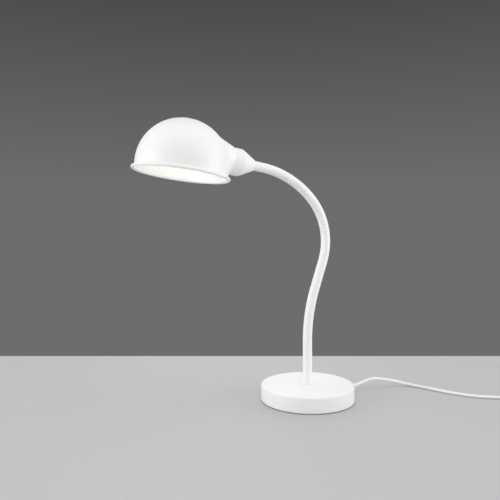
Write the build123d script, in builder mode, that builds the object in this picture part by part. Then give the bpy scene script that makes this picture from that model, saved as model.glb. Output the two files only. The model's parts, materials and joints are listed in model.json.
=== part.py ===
"""Desk lamp with a weighted round base, a flexible sleeved neck and a dome shade.

The origin is the middle of the base on the table and +Z is up. The head reaches out towards -X,
and the cord leaves the back of the base towards +X. Sizes are in millimetres and degrees.
"""
from build123d import *
import math
import os

# Base
base_diameter = 150.0
base_height = 25.0
cover_sheet = 1.2
cover_edge_radius = 2.5
cover_lift = 1.2
foot_thickness = 1.5
foot_inset = 2.2
plate_sheet = 1.0
plate_play = 0.3
weight_thickness = 14.0
weight_side_gap = 5.8
weight_edge = 1.0
pocket_diameter = 48.0
pocket_depth = 7.0
boss_diameter = 12.0
boss_edge_distance = 13.0
boss_count = 3
boss_first_angle = 60.0
base_screw_diameter = 4.0
base_screw_length = 9.0
base_screw_head = 7.6
base_screw_head_height = 1.2
screw_head_taper = 8.0

# Clearances, each on the radius or on one side
thread_play = 0.05
hole_play = 0.2
cord_play = 0.05
head_play = 0.6

# Terminal block and wires in the base
block_length = 12.0
block_width = 16.0
block_height = 7.0
block_offset = 15.0
block_screw_diameter = 4.0
block_screw_depth = 2.3
wire_diameter = 1.8
wire_bend = 3.0
lead_wire_spread = 1.2
mains_wire_spread = 4.5
mains_wire_rise = 8.0

# Cord, boot and clamp
cord_diameter = 5.0
cord_exit_height = 8.5
cord_inner_end = 30.0
cord_bend_share = 0.45
channel_play = 1.5
boot_length = 20.0
boot_root_diameter = 8.8
boot_tip_diameter = 6.8
boot_flange_diameter = 11.0
boot_flange_thickness = 1.8
boot_wall_gap = 0.2
boot_groove_diameter = 7.8
boot_hole_play = 0.1
clamp_edge_distance = 22.0
clamp_length = 9.0
clamp_width = 28.0
clamp_wall = 1.6
clamp_screw_spacing = 20.0
clamp_screw_diameter = 3.0
clamp_screw_length = 11.0
clamp_screw_head = 5.0
clamp_screw_head_height = 1.4

# Neck: centre line in the XZ plane, sleeve, core and end fittings
neck_rise = 70.5
lean_radius = 253.0
lean_turn = 19.3
lean_run = 46.0
crook_radius = 100.0
crook_turn = 61.4
reach_radius = 154.0
reach_turn = 39.8
neck_end_run = 16.0
neck_sections = 9
sleeve_diameter = 15.0
sleeve_wall = 1.3
sleeve_play = 0.2
core_wall = 2.0
ball_gap = 0.7
spigot_length = 10.0
spigot_play = 0.05
flange_thickness = 2.0
thread_diameter = 10.0
fitting_bore_play = 0.2
lead_diameter = 5.0
nut_flats = 12.0
nut_height = 3.5
washer_diameter = 17.0
washer_thickness = 1.2
thread_past_nut = 2.0

# Shade
dome_diameter = 136.4
skirt_height = 15.0
shade_sheet = 1.0
rim_diameter = 144.8
bead_diameter = 4.6
holder_height = 35.8
collar_reach = 72.9
collar_diameter = 44.6
collar_root = 38.0
collar_root_depth = 0.83
collar_end_wall = 1.2

# Bell cap and lampholder
cap_diameter = 42.0
cap_cylinder = 16.9
cap_cone = 23.5
cap_end_diameter = 17.6
cap_shoulder_radius = 6.0
cap_sheet = 1.0
holder_skirt_diameter = 34.0
holder_skirt_length = 14.0
holder_flange_diameter = 38.4
holder_flange_thickness = 2.0
holder_body_diameter = 36.8
holder_body_length = 13.0
holder_taper_length = 10.0
holder_top_diameter = 15.0
holder_top_length = 6.0
holder_bore_depth = 13.0
holder_cavity_diameter = 16.0
holder_cavity_depth = 5.0
insulator_thickness = 5.0
insulator_play = 0.15
shell_diameter = 28.8
shell_sheet = 0.5
shell_length = 18.0
shell_bore_play = 0.2
contact_strip = 0.5
contact_width = 6.0
contact_rise = 3.0
contact_half_span = 8.0
ring_diameter = 40.6
ring_length = 6.0
ring_notches = 16
ring_notch_diameter = 2.4

# Lamp in the holder
lamp_cap_diameter = 26.2
lamp_cap_length = 20.0
lamp_cap_sheet = 0.6
lamp_tip_diameter = 9.0
lamp_tip_length = 2.0
lamp_tip_play = 0.2
lamp_housing_length = 19.0
lamp_housing_root = 27.2
lamp_housing_wall = 1.5
globe_diameter = 45.0
globe_seat = 11.0
globe_wall = 1.2

# Switch on the cord
switch_length = 60.0
switch_width = 25.0
switch_end_width = 13.0
switch_taper = 13.0
switch_height = 15.0
switch_split = 7.5
switch_wall = 1.5
switch_shoulder_radius = 8.0
switch_end_radius = 2.5
switch_edge_radius = 2.0
switch_cord_height = 6.0
switch_screw_diameter = 2.2
switch_screw_length = 11.0
switch_screw_head = 4.8
switch_screw_head_height = 1.6
switch_screw_recess = 0.4
switch_boss_wall = 1.6
switch_screw_inset = 15.0
switch_screw_offset = 7.8
rocker_length = 17.6
rocker_width = 10.4
rocker_gap = 0.3
rocker_end_gap = 1.0
rocker_pivot_height = 11.5
rocker_tilt = 8.0
rocker_end_height = 4.7
rocker_dip = 0.8
rocker_depth = 2.0
axle_diameter = 3.0
axle_length = 1.4
lug_wall = 1.5
lug_thickness = 1.4
terminal_length = 12.0
terminal_width = 6.0
terminal_strip = 0.8
terminal_post = 4.5
terminal_gap = 6.0

# Coil of the remaining cord
coil_lead_in = 20.0
coil_inner_radius = 20.0
coil_pitch = 6.2
coil_layer_turns = 3.5
coil_layer_step = 6.2
coil_climb_turns = 0.5
coil_arcs_per_turn = 4
coil_tail = 22.0
tie_strap = 0.8
tie_width = 9.0
tie_gap = 0.3

# Plug
plug_length = 36.0
plug_front_length = 15.0
plug_width = 35.3
plug_thickness = 13.7
plug_rear_width = 13.0
plug_bevel = 4.2
plug_boot_length = 21.0
plug_boot_root = 9.6
plug_boot_tip = 7.0
plug_boot_rib = 1.6
plug_boot_ribs = 5
plug_boot_rib_depth = 0.7
pin_diameter = 4.0
pin_length = 19.0
pin_spacing = 19.0
pin_embedded = 8.0
pin_sleeve_length = 10.0
pin_sleeve_wall = 0.5

# Values worked out from the driving dimensions
base_radius = base_diameter / 2
cover_bore = base_radius - cover_sheet
plate_top = foot_thickness + plate_sheet
weight_top = base_height - cover_sheet
weight_bottom = weight_top - weight_thickness
weight_radius = cover_bore - weight_side_gap
boss_circle_radius = weight_radius - boss_edge_distance
clamp_distance = weight_radius - clamp_edge_distance
pocket_roof = weight_bottom + pocket_depth
cord_radius = cord_diameter / 2
thread_radius = thread_diameter / 2
sleeve_radius = sleeve_diameter / 2
sleeve_bore = sleeve_radius - sleeve_wall
core_radius = sleeve_bore - sleeve_play
core_bore = core_radius - core_wall
fitting_bore = lead_diameter / 2 + fitting_bore_play
lower_thread = base_height - pocket_roof + washer_thickness + nut_height + thread_past_nut
cap_length = cap_cylinder + cap_cone
dome_radius = dome_diameter / 2
collar_radius = collar_diameter / 2

# The neck's stretches from the base up: length, and radius where it bends, positive towards the head
neck_course = (
    (neck_rise, 0.0),
    (math.radians(lean_turn) * lean_radius, -lean_radius),
    (lean_run, 0.0),
    (math.radians(crook_turn) * crook_radius, crook_radius),
    (math.radians(reach_turn) * reach_radius, reach_radius),
    (neck_end_run, 0.0),
)
neck_length = sum(length for length, _ in neck_course)
section_length = neck_length / neck_sections

# Route of the cord from the boot to the switch: off the base, over a low hump and along the table
cord_route = [
    (base_radius + boot_length, 0.0, cord_exit_height),
    (105.0, 0.0, cord_exit_height),
    (128.0, -2.0, 18.6),
    (152.0, -4.0, 15.2),
    (177.0, -6.5, 8.8),
    (199.0, -16.5, cord_radius),
    (210.0, -38.0, cord_radius),
    (219.0, -63.0, cord_radius),
    (231.0, -90.0, cord_radius),
    (247.0, -114.0, cord_radius),
    (268.0, -132.5, cord_radius),
    (286.0, -142.0, cord_radius),
    (299.0, -148.5, switch_cord_height),
    (311.0, -154.5, switch_cord_height),
]


def save(piece, name):
    """Label a finished piece and write its STEP file."""
    piece.part.label = name
    export_step(piece.part, f"parts/{name}.step")


def neck_at(distance):
    """Return the x, z and heading of the neck's centre line at a distance from the base."""
    x, z, heading = 0.0, base_height, math.radians(90)
    for length, radius in neck_course:
        step = min(distance, length)
        if radius:
            turned = heading + step / radius
            x += radius * (math.sin(turned) - math.sin(heading))
            z -= radius * (math.cos(turned) - math.cos(heading))
            heading = turned
        else:
            x += step * math.cos(heading)
            z += step * math.sin(heading)
        distance -= step
    return x, z, heading


def neck_point(distance):
    """Return the neck's centre point at a distance from the base."""
    x, z, _ = neck_at(distance)
    return Vector(x, 0, z)


def neck_direction(distance):
    """Return the direction in which the neck runs at a distance from the base."""
    heading = neck_at(distance)[2]
    return Vector(math.cos(heading), 0, math.sin(heading))


def neck_line(start, end):
    """Draw the neck's centre line between two distances, as lines and tangent arcs."""
    ends = [sum(length for length, _ in neck_course[: count + 1]) for count in range(len(neck_course))]
    stops = [start] + [stop for stop in ends if start < stop < end] + [end]
    for near, far in zip(stops, stops[1:]):
        if abs(neck_at(far)[2] - neck_at(near)[2]) > 1e-9:
            TangentArc(neck_point(near), neck_point(far), tangent=neck_direction(near))
        else:
            Line(neck_point(near), neck_point(far))


def neck_tube(outer, inner, start, end, seated, rounded):
    """Build a tube along the neck, hollowed below to turn on a ball end and rounded above into one."""
    with BuildPart() as tube:
        with BuildLine():
            neck_line(start, end)
        with BuildSketch(Plane(origin=neck_point(start), z_dir=neck_direction(start))):
            Circle(outer)
            Circle(inner, mode=Mode.SUBTRACT)
        sweep()
        if rounded:
            along = neck_direction(end)
            outer_angle = math.degrees(math.acos(outer / sleeve_radius))
            inner_angle = math.degrees(math.acos(inner / sleeve_radius))
            with BuildSketch(Plane(origin=neck_point(end), x_dir=(-along.Z, 0, along.X), z_dir=(0, 1, 0))):
                with BuildLine():
                    crown = CenterArc((0, 0), sleeve_radius, outer_angle, inner_angle - outer_angle)
                    Polyline(crown @ 1, (inner, 0), (outer, 0))
                    if outer < sleeve_radius:
                        Line((outer, 0), crown @ 0)
                make_face()
            revolve(axis=Axis(neck_point(end), along))
        if seated:
            with Locations(neck_point(start)):
                Sphere(sleeve_radius + ball_gap, mode=Mode.SUBTRACT)
    return tube


def neck_fitting(seat, thread_length):
    """Build a threaded end fitting: its flange stands on the seat plane and its spigot is in the core."""
    with BuildPart() as fitting:
        with BuildSketch(seat):
            Circle(core_radius)
        extrude(amount=flange_thickness)
        with BuildSketch(seat.offset(flange_thickness)):
            Circle(core_bore - spigot_play)
        extrude(amount=spigot_length)
        with BuildSketch(seat):
            Circle(thread_radius)
        extrude(amount=-thread_length)
        with BuildSketch(seat.offset(-thread_length)):
            Circle(fitting_bore)
        extrude(amount=thread_length + flange_thickness + spigot_length, mode=Mode.SUBTRACT)
    return fitting


def hexagon_nut(seat):
    """Build a thin lamp nut that lies on the seat plane."""
    with BuildPart() as nut:
        with BuildSketch(seat):
            RegularPolygon(nut_flats / 2, 6, major_radius=False)
            Circle(thread_radius + thread_play, mode=Mode.SUBTRACT)
        extrude(amount=nut_height)
    return nut


def screws(places, diameter, length, head_diameter, head_height):
    """Build a group of pan-head screws, each with its head below a plane and its shank above it."""
    with BuildPart() as group:
        for place in places:
            with BuildSketch(place):
                Circle(diameter / 2)
            extrude(amount=length)
            with BuildSketch(place):
                Circle(head_diameter / 2)
            extrude(amount=-head_height, taper=screw_head_taper)
    return group


def tube_volume_error(piece, path):
    """Return how far a cord's volume is from its section times its length, as a share."""
    ideal = math.pi * cord_radius**2 * path.length
    return abs(piece.part.volume - ideal) / ideal


# Planes and axes of the head: across is from the dome's axis to the neck, up is along the dome's axis
neck_outlet = neck_point(neck_length)
head_across = -neck_direction(neck_length)
head_up = Vector(-head_across.Z, 0, head_across.X)
holder_axis_point = neck_outlet - head_across * (collar_reach + cap_length)
rim_centre = holder_axis_point - head_up * holder_height
head_side = Plane(origin=rim_centre, x_dir=head_across, z_dir=(0, -1, 0))
holder_side = Plane(origin=holder_axis_point, x_dir=head_across, z_dir=(0, -1, 0))
dome_axis = Axis(rim_centre, head_up)
holder_axis = Axis(holder_axis_point, head_across)


def holder_plane(distance):
    """Return the plane square to the holder's axis at a distance from the dome's axis."""
    return Plane(origin=holder_axis_point + head_across * distance, x_dir=head_up, z_dir=head_across)


def turned(side, axis, outline, mode=Mode.ADD):
    """Revolve a closed outline of straight lines on a side plane about an axis."""
    with BuildSketch(side) as section:
        with BuildLine():
            Polyline(*outline, close=True)
        make_face()
    revolve(section.sketch, axis=axis, mode=mode)


os.makedirs("parts", exist_ok=True)

# Foot pad under the bottom plate, holed for the screw heads
with BuildPart() as foot_pad:
    with BuildSketch():
        Circle(base_radius - foot_inset)
        with PolarLocations(boss_circle_radius, boss_count, boss_first_angle):
            Circle(base_screw_head / 2 + head_play, mode=Mode.SUBTRACT)
    extrude(amount=foot_thickness)
save(foot_pad, "foot_pad")

# Bottom plate inside the cover's skirt
with BuildPart() as base_plate:
    with BuildSketch(Plane.XY.offset(foot_thickness)):
        Circle(cover_bore - plate_play)
        with PolarLocations(boss_circle_radius, boss_count, boss_first_angle):
            Circle(base_screw_diameter / 2 + hole_play, mode=Mode.SUBTRACT)
    extrude(amount=plate_sheet)
save(base_plate, "base_plate")

# Pressed cover with a rounded top edge, a hole for the neck and a hole for the cord's boot
boot_plane = Plane(origin=(base_radius, 0, cord_exit_height), z_dir=(1, 0, 0))
with BuildPart() as base_cover:
    with BuildSketch(Plane.XY.offset(cover_lift)):
        Circle(base_radius)
    extrude(amount=base_height - cover_lift)
    fillet(base_cover.edges().group_by(Axis.Z)[-1], radius=cover_edge_radius)
    offset(amount=-cover_sheet, openings=base_cover.faces().sort_by(Axis.Z)[0])
    with BuildSketch(Plane.XY.offset(base_height)):
        Circle(thread_radius + hole_play)
    extrude(amount=-2 * cover_sheet, mode=Mode.SUBTRACT)
    with BuildSketch(boot_plane):
        Circle(boot_groove_diameter / 2 + boot_hole_play)
    extrude(amount=-2 * cover_sheet, both=True, mode=Mode.SUBTRACT)
save(base_cover, "base_cover")

# Cast weight under the cover, with a pocket for the wiring, a channel for the cord and three bosses
clamp_bottom = cord_exit_height - cord_radius - clamp_wall
with BuildPart() as base_weight:
    with BuildSketch(Plane.XY.offset(weight_bottom)):
        Circle(weight_radius)
    extrude(amount=weight_thickness)
    chamfer(base_weight.edges().filter_by(GeomType.CIRCLE), length=weight_edge)
    with BuildSketch(Plane.XY.offset(weight_bottom)):
        Circle(pocket_diameter / 2)
    extrude(amount=pocket_depth, mode=Mode.SUBTRACT)
    with BuildSketch(Plane.XY.offset(weight_bottom)):
        with Locations((weight_radius / 2, 0)):
            Rectangle(weight_radius, cord_diameter + 2 * channel_play)
    extrude(amount=cord_exit_height + cord_radius + channel_play - weight_bottom, mode=Mode.SUBTRACT)
    with BuildSketch(Plane.XY.offset(plate_top)):
        with PolarLocations(boss_circle_radius, boss_count, boss_first_angle):
            Circle(boss_diameter / 2)
    extrude(amount=weight_bottom - plate_top)
    with BuildSketch(Plane.XY.offset(plate_top)):
        with PolarLocations(boss_circle_radius, boss_count, boss_first_angle):
            Circle(base_screw_diameter / 2 + thread_play)
    extrude(amount=base_screw_length, mode=Mode.SUBTRACT)
    with BuildSketch(Plane.XY.offset(weight_bottom)):
        with Locations((clamp_distance, 0)):
            with GridLocations(0, clamp_screw_spacing, 1, 2):
                Circle(clamp_screw_diameter / 2 + thread_play)
    extrude(amount=clamp_bottom + clamp_screw_length - weight_bottom + thread_play, mode=Mode.SUBTRACT)
    with BuildSketch(Plane.XY.offset(weight_bottom)):
        Circle(thread_radius + hole_play)
    extrude(amount=weight_thickness, mode=Mode.SUBTRACT)
save(base_weight, "base_weight")

# Screws through the bottom plate into the weight's bosses
boss_angles = [boss_first_angle + 360 / boss_count * count for count in range(boss_count)]
boss_places = [
    Plane(
        origin=(
            boss_circle_radius * math.cos(math.radians(angle)),
            boss_circle_radius * math.sin(math.radians(angle)),
            foot_thickness,
        )
    )
    for angle in boss_angles
]
base_screws = screws(
    boss_places, base_screw_diameter, base_screw_length, base_screw_head, base_screw_head_height
)
save(base_screws, "base_screws")

# Washer and nut that pull the neck's lower fitting down on the base
with BuildPart() as neck_washer:
    with BuildSketch(Plane.XY.offset(pocket_roof)):
        Circle(washer_diameter / 2)
        Circle(thread_radius + hole_play, mode=Mode.SUBTRACT)
    extrude(amount=-washer_thickness)
save(neck_washer, "neck_washer")

neck_nut = hexagon_nut(Plane(origin=(0, 0, pocket_roof - washer_thickness), z_dir=(0, 0, -1)))
save(neck_nut, "neck_nut")

# Terminal block on the bottom plate, beside the end of the neck's lead
block_middle = plate_top + block_height / 2
block_face = block_length / 2 - block_offset
with BuildPart() as terminal_block:
    with BuildSketch(Plane.XY.offset(plate_top)):
        with Locations((-block_offset, 0)):
            Rectangle(block_length, block_width)
    extrude(amount=block_height)
    fillet(terminal_block.edges().filter_by(Axis.Z), radius=wire_diameter / 2)
    with BuildSketch(Plane.XY.offset(plate_top + block_height)):
        with Locations((-block_offset, 0)):
            with GridLocations(0, block_width / 2, 1, 2):
                Circle(block_screw_diameter / 2)
    extrude(amount=-block_screw_depth, mode=Mode.SUBTRACT)
save(terminal_block, "terminal_block")

# Single wires: two down from the neck's lead and two along from the mains cord
lead_end = base_height - lower_thread
with BuildPart() as base_wires:
    for side in (-1, 1):
        y = side * lead_wire_spread
        with BuildLine():
            FilletPolyline(
                (0, y, lead_end),
                (0, y, block_middle),
                (block_face, y, block_middle),
                radius=wire_bend,
            )
        with BuildSketch(Plane(origin=(0, y, lead_end), z_dir=(0, 0, -1))):
            Circle(wire_diameter / 2)
        sweep()
        near_y = side * lead_wire_spread
        far_y = side * mains_wire_spread
        with BuildLine():
            FilletPolyline(
                (cord_inner_end, near_y, cord_exit_height),
                (cord_inner_end - mains_wire_rise, near_y, cord_exit_height),
                (mains_wire_rise, far_y, block_middle),
                (block_face, far_y, block_middle),
                radius=mains_wire_rise,
            )
        with BuildSketch(Plane(origin=(cord_inner_end, near_y, cord_exit_height), z_dir=(-1, 0, 0))):
            Circle(wire_diameter / 2)
        sweep()
save(base_wires, "base_wires")

# Inner end of the cord, from the pocket through the clamp to the tip of the boot
cord_entry_plane = Plane(origin=(cord_inner_end, 0, cord_exit_height), z_dir=(1, 0, 0))
with BuildPart() as cord_entry:
    with BuildSketch(cord_entry_plane):
        Circle(cord_radius)
    extrude(amount=base_radius + boot_length - cord_inner_end)
save(cord_entry, "cord_entry")

# Tapered boot that holds the cord in the cover's wall
boot_side = Plane(origin=(base_radius, 0, cord_exit_height), x_dir=(1, 0, 0), z_dir=(0, -1, 0))
boot_axis = Axis((base_radius, 0, cord_exit_height), (1, 0, 0))
boot_bore = cord_radius + cord_play
wall_sagitta = base_radius - math.sqrt(base_radius**2 - (boot_flange_diameter / 2) ** 2)
boot_inner = -cover_sheet - wall_sagitta - boot_wall_gap
with BuildPart() as strain_relief:
    turned(
        boot_side,
        boot_axis,
        (
            (boot_inner - boot_flange_thickness, boot_bore),
            (boot_inner - boot_flange_thickness, boot_flange_diameter / 2),
            (boot_inner, boot_flange_diameter / 2),
            (boot_inner, boot_groove_diameter / 2),
            (boot_wall_gap, boot_groove_diameter / 2),
            (boot_wall_gap, boot_root_diameter / 2),
            (boot_length, boot_tip_diameter / 2),
            (boot_length, boot_bore),
        ),
    )
save(strain_relief, "strain_relief")

# Strap that clamps the cord under the weight, and its screws
with BuildPart() as cord_clamp:
    with BuildSketch(Plane.XY.offset(clamp_bottom)):
        with Locations((clamp_distance, 0)):
            RectangleRounded(clamp_length, clamp_width, radius=clamp_wall)
    extrude(amount=weight_bottom - clamp_bottom)
    with BuildSketch(cord_entry_plane):
        Circle(cord_radius + cord_play)
    extrude(amount=base_radius, mode=Mode.SUBTRACT)
    with BuildSketch(Plane.XY.offset(cord_exit_height)):
        with Locations((clamp_distance, 0)):
            Rectangle(clamp_length, cord_diameter + 2 * cord_play)
    extrude(amount=weight_bottom - cord_exit_height, mode=Mode.SUBTRACT)
    with BuildSketch(Plane.XY.offset(clamp_bottom)):
        with Locations((clamp_distance, 0)):
            with GridLocations(0, clamp_screw_spacing, 1, 2):
                Circle(clamp_screw_diameter / 2 + hole_play)
    extrude(amount=weight_bottom - clamp_bottom, mode=Mode.SUBTRACT)
save(cord_clamp, "cord_clamp")

clamp_places = [
    Plane(origin=(clamp_distance, side * clamp_screw_spacing / 2, clamp_bottom)) for side in (-1, 1)
]
clamp_screws = screws(
    clamp_places, clamp_screw_diameter, clamp_screw_length, clamp_screw_head, clamp_screw_head_height
)
save(clamp_screws, "clamp_screws")

# Lower end fitting of the neck
lower_fitting = neck_fitting(Plane(origin=(0, 0, base_height)), lower_thread)
save(lower_fitting, "lower_fitting")

# Core and sleeve of the neck, in sections that turn on each other's ball ends
for count in range(neck_sections):
    first = count == 0
    last = count == neck_sections - 1
    start = section_length * count
    end = section_length * (count + 1)
    sleeve = neck_tube(sleeve_radius, sleeve_bore, start, end, not first, not last)
    save(sleeve, f"neck_sleeve_{count + 1}")
    core_start = start + flange_thickness if first else start
    core_end = end - flange_thickness if last else end
    core = neck_tube(core_radius, core_bore, core_start, core_end, not first, not last)
    save(core, f"neck_core_{count + 1}")

# Upper end fitting and the nut that holds it in the bell cap
cap_end = collar_reach + cap_length
holder_top = (
    collar_reach + holder_flange_thickness + holder_body_length + holder_taper_length + holder_top_length
)
upper_thread = cap_end - holder_top + holder_top_length
upper_seat = Plane(origin=neck_outlet, z_dir=head_across)
upper_fitting = neck_fitting(upper_seat, upper_thread)
save(upper_fitting, "upper_fitting")

holder_nut = hexagon_nut(Plane(origin=neck_outlet - head_across * cap_sheet, z_dir=-head_across))
save(holder_nut, "holder_nut")

# Lead from the base to the lampholder, through both fittings and the core
with BuildPart() as neck_lead:
    with BuildLine():
        Line((0, 0, lead_end), (0, 0, base_height))
        neck_line(0, neck_length)
        Line(neck_outlet, neck_outlet - head_across * upper_thread)
    with BuildSketch(Plane.XY.offset(lead_end)):
        Circle(lead_diameter / 2)
    sweep()
save(neck_lead, "neck_lead")

# Bell cap: a short cylinder and a cone with a rounded shoulder, open towards the shade
with BuildPart() as holder_cap:
    with BuildSketch(holder_side):
        with BuildLine():
            Polyline(
                (collar_reach, 0),
                (collar_reach, cap_diameter / 2),
                (collar_reach + cap_cylinder, cap_diameter / 2),
                (cap_end, cap_end_diameter / 2),
                (cap_end, 0),
                close=True,
            )
        make_face()
    revolve(axis=holder_axis)
    shoulder = holder_cap.edges().filter_by(GeomType.CIRCLE).sort_by(holder_axis)[1]
    fillet(shoulder, radius=cap_shoulder_radius)
    offset(amount=-cap_sheet, openings=holder_cap.faces().sort_by(holder_axis)[0])
    with BuildSketch(holder_plane(cap_end)):
        Circle(thread_radius + hole_play)
    extrude(amount=-2 * cap_sheet, mode=Mode.SUBTRACT)
save(holder_cap, "holder_cap")

# Shade: dome with a straight skirt, a drawn-out conical collar and a rolled rim
dome_height_at_root = skirt_height + math.sqrt(dome_radius**2 - collar_root**2)
collar_root_radius = dome_height_at_root - holder_height - collar_root_depth
slope = (collar_root_radius - collar_radius) / (collar_reach - collar_root)
collar_inset = shade_sheet * math.sqrt(1 + slope**2)
collar_inner_end = collar_reach - collar_end_wall
bead_radius = bead_diameter / 2
bead_centre = rim_diameter / 2 - bead_radius


def dome_profile(radius, floor):
    """Draw half of a dome's section, from its axis out to its skirt and down to a floor."""
    with BuildLine() as half:
        CenterArc((0, skirt_height), radius, 0, 90)
        Polyline((radius, skirt_height), (radius, floor), (0, floor), (0, skirt_height + radius))
    make_face(half.edges())


with BuildPart() as shade_cavity:
    with BuildSketch(head_side):
        dome_profile(dome_radius - shade_sheet, -bead_diameter)
    revolve(axis=dome_axis)
    turned(
        holder_side,
        holder_axis,
        (
            (collar_root, 0),
            (collar_inner_end, 0),
            (collar_inner_end, collar_radius - collar_inset + slope * collar_end_wall),
            (collar_root, collar_root_radius - collar_inset),
        ),
    )
    with BuildSketch(holder_plane(collar_inner_end)):
        Circle(collar_radius)
    extrude(amount=dome_radius, mode=Mode.SUBTRACT)

with BuildPart() as shade:
    with BuildSketch(head_side):
        dome_profile(dome_radius, bead_radius)
    revolve(axis=dome_axis)
    with BuildSketch(head_side):
        with Locations((bead_centre, bead_radius)):
            Circle(bead_radius)
        with Locations(((dome_radius + bead_centre) / 2 - shade_sheet / 2, bead_radius)):
            Rectangle(bead_centre - dome_radius + shade_sheet, bead_radius)
    revolve(axis=dome_axis)
    turned(
        holder_side,
        holder_axis,
        (
            (collar_root, 0),
            (collar_reach, 0),
            (collar_reach, collar_radius),
            (collar_root, collar_root_radius),
        ),
    )
    with BuildSketch(holder_plane(collar_reach)):
        Circle(collar_radius)
    extrude(amount=dome_radius, mode=Mode.SUBTRACT)
    add(shade_cavity.part, mode=Mode.SUBTRACT)
    with BuildSketch(holder_plane(collar_reach)):
        Circle(holder_skirt_diameter / 2 + hole_play)
    extrude(amount=-2 * collar_end_wall, mode=Mode.SUBTRACT)
save(shade, "shade")

# Lampholder body: skirt through the shade, flange behind it, and a tapered back on the thread
skirt_end = collar_reach - holder_skirt_length
flange_end = collar_reach + holder_flange_thickness
body_end = flange_end + holder_body_length
taper_end = body_end + holder_taper_length
bore_end = collar_reach + holder_bore_depth
shell_bore = shell_diameter / 2 + shell_bore_play
with BuildPart() as holder_body:
    turned(
        holder_side,
        holder_axis,
        (
            (skirt_end, 0),
            (skirt_end, holder_skirt_diameter / 2),
            (collar_reach, holder_skirt_diameter / 2),
            (collar_reach, holder_flange_diameter / 2),
            (flange_end, holder_flange_diameter / 2),
            (flange_end, holder_body_diameter / 2),
            (body_end, holder_body_diameter / 2),
            (taper_end, holder_top_diameter / 2),
            (holder_top, holder_top_diameter / 2),
            (holder_top, 0),
        ),
    )
    with BuildSketch(holder_plane(skirt_end)):
        Circle(shell_bore)
    extrude(amount=bore_end - skirt_end, mode=Mode.SUBTRACT)
    with BuildSketch(holder_plane(bore_end)):
        Circle(holder_cavity_diameter / 2)
    extrude(amount=holder_cavity_depth, mode=Mode.SUBTRACT)
    with BuildSketch(holder_plane(bore_end)):
        Circle(thread_radius + thread_play)
    extrude(amount=holder_top - bore_end, mode=Mode.SUBTRACT)
save(holder_body, "holder_body")

# Insulator at the bottom of the holder's bore
insulator_front = bore_end - insulator_thickness
with BuildPart() as holder_insulator:
    with BuildSketch(holder_plane(insulator_front)):
        Circle(shell_bore - insulator_play)
        with GridLocations(0, contact_width, 1, 2):
            Circle(wire_diameter, mode=Mode.SUBTRACT)
    extrude(amount=insulator_thickness)
save(holder_insulator, "holder_insulator")

# Screw shell and springy centre contact on the insulator
with BuildPart() as screw_shell:
    with BuildSketch(holder_plane(insulator_front)):
        Circle(shell_diameter / 2)
        Circle(shell_diameter / 2 - shell_sheet, mode=Mode.SUBTRACT)
    extrude(amount=-shell_length)
save(screw_shell, "screw_shell")

contact_foot = contact_half_span / 2
with BuildPart() as centre_contact:
    with BuildSketch(holder_side):
        with BuildLine():
            Polyline(
                (insulator_front, contact_half_span),
                (insulator_front, contact_foot),
                (insulator_front - contact_rise + contact_strip, -contact_foot),
                (insulator_front - contact_rise, -contact_foot),
                (insulator_front - contact_strip, contact_foot),
                (insulator_front - contact_strip, contact_half_span),
                close=True,
            )
        make_face()
    extrude(amount=contact_width / 2, both=True)
save(centre_contact, "centre_contact")

# Ring screwed on the holder's skirt, which clamps the collar against the flange
with BuildPart() as shade_ring:
    with BuildSketch(holder_plane(collar_inner_end)):
        Circle(ring_diameter / 2)
        Circle(holder_skirt_diameter / 2 + thread_play, mode=Mode.SUBTRACT)
        with PolarLocations(ring_diameter / 2, ring_notches):
            Circle(ring_notch_diameter / 2, mode=Mode.SUBTRACT)
    extrude(amount=-ring_length)
save(shade_ring, "shade_ring")

# Lamp: tip contact, screw cap, housing and opal globe
lamp_tip_end = insulator_front - contact_rise - lamp_tip_play
lamp_cap_end = lamp_tip_end - lamp_tip_length
lamp_cap_start = lamp_cap_end - lamp_cap_length
housing_start = lamp_cap_start - lamp_housing_length
globe_radius = globe_diameter / 2
globe_middle = housing_start - globe_seat
globe_mouth = math.sqrt(globe_radius**2 - globe_seat**2)
with BuildPart() as lamp_tip:
    with BuildSketch(holder_plane(lamp_cap_end)):
        Circle(lamp_cap_diameter / 2 - lamp_cap_sheet)
    with BuildSketch(holder_plane(lamp_tip_end)):
        Circle(lamp_tip_diameter / 2)
    loft()
save(lamp_tip, "lamp_tip")

with BuildPart() as lamp_cap:
    with BuildSketch(holder_plane(lamp_cap_start)):
        Circle(lamp_cap_diameter / 2)
        Circle(lamp_cap_diameter / 2 - lamp_cap_sheet, mode=Mode.SUBTRACT)
    extrude(amount=lamp_cap_length)
save(lamp_cap, "lamp_cap")

with BuildPart() as lamp_housing:
    turned(
        holder_side,
        holder_axis,
        (
            (lamp_cap_start, lamp_housing_root / 2),
            (housing_start, globe_mouth),
            (housing_start, globe_mouth - lamp_housing_wall),
            (lamp_cap_start, lamp_housing_root / 2 - lamp_housing_wall),
        ),
    )
save(lamp_housing, "lamp_housing")

with BuildPart() as lamp_globe:
    with BuildSketch(holder_side):
        with Locations((globe_middle, 0)):
            Circle(globe_radius)
            Circle(globe_radius - globe_wall, mode=Mode.SUBTRACT)
        with Locations((globe_middle, -globe_radius)):
            Rectangle(globe_diameter, globe_diameter, mode=Mode.SUBTRACT)
        with Locations((housing_start + globe_radius, 0)):
            Rectangle(globe_diameter, 2 * globe_diameter, mode=Mode.SUBTRACT)
    revolve(axis=holder_axis)
save(lamp_globe, "lamp_globe")

# Cord over the table from the boot to the switch, with the widest bend that its runs allow at each point
route = [Vector(*point) for point in cord_route]
runs = [far - near for near, far in zip(route, route[1:])]
bend_radii = []
for run, following in zip(runs, runs[1:]):
    half_turn = math.radians(run.get_angle(following)) / 2
    bend_radii.append(cord_bend_share * min(run.length, following.length) / math.tan(half_turn))
print("cord bend radii:", [round(radius, 1) for radius in bend_radii])

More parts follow.
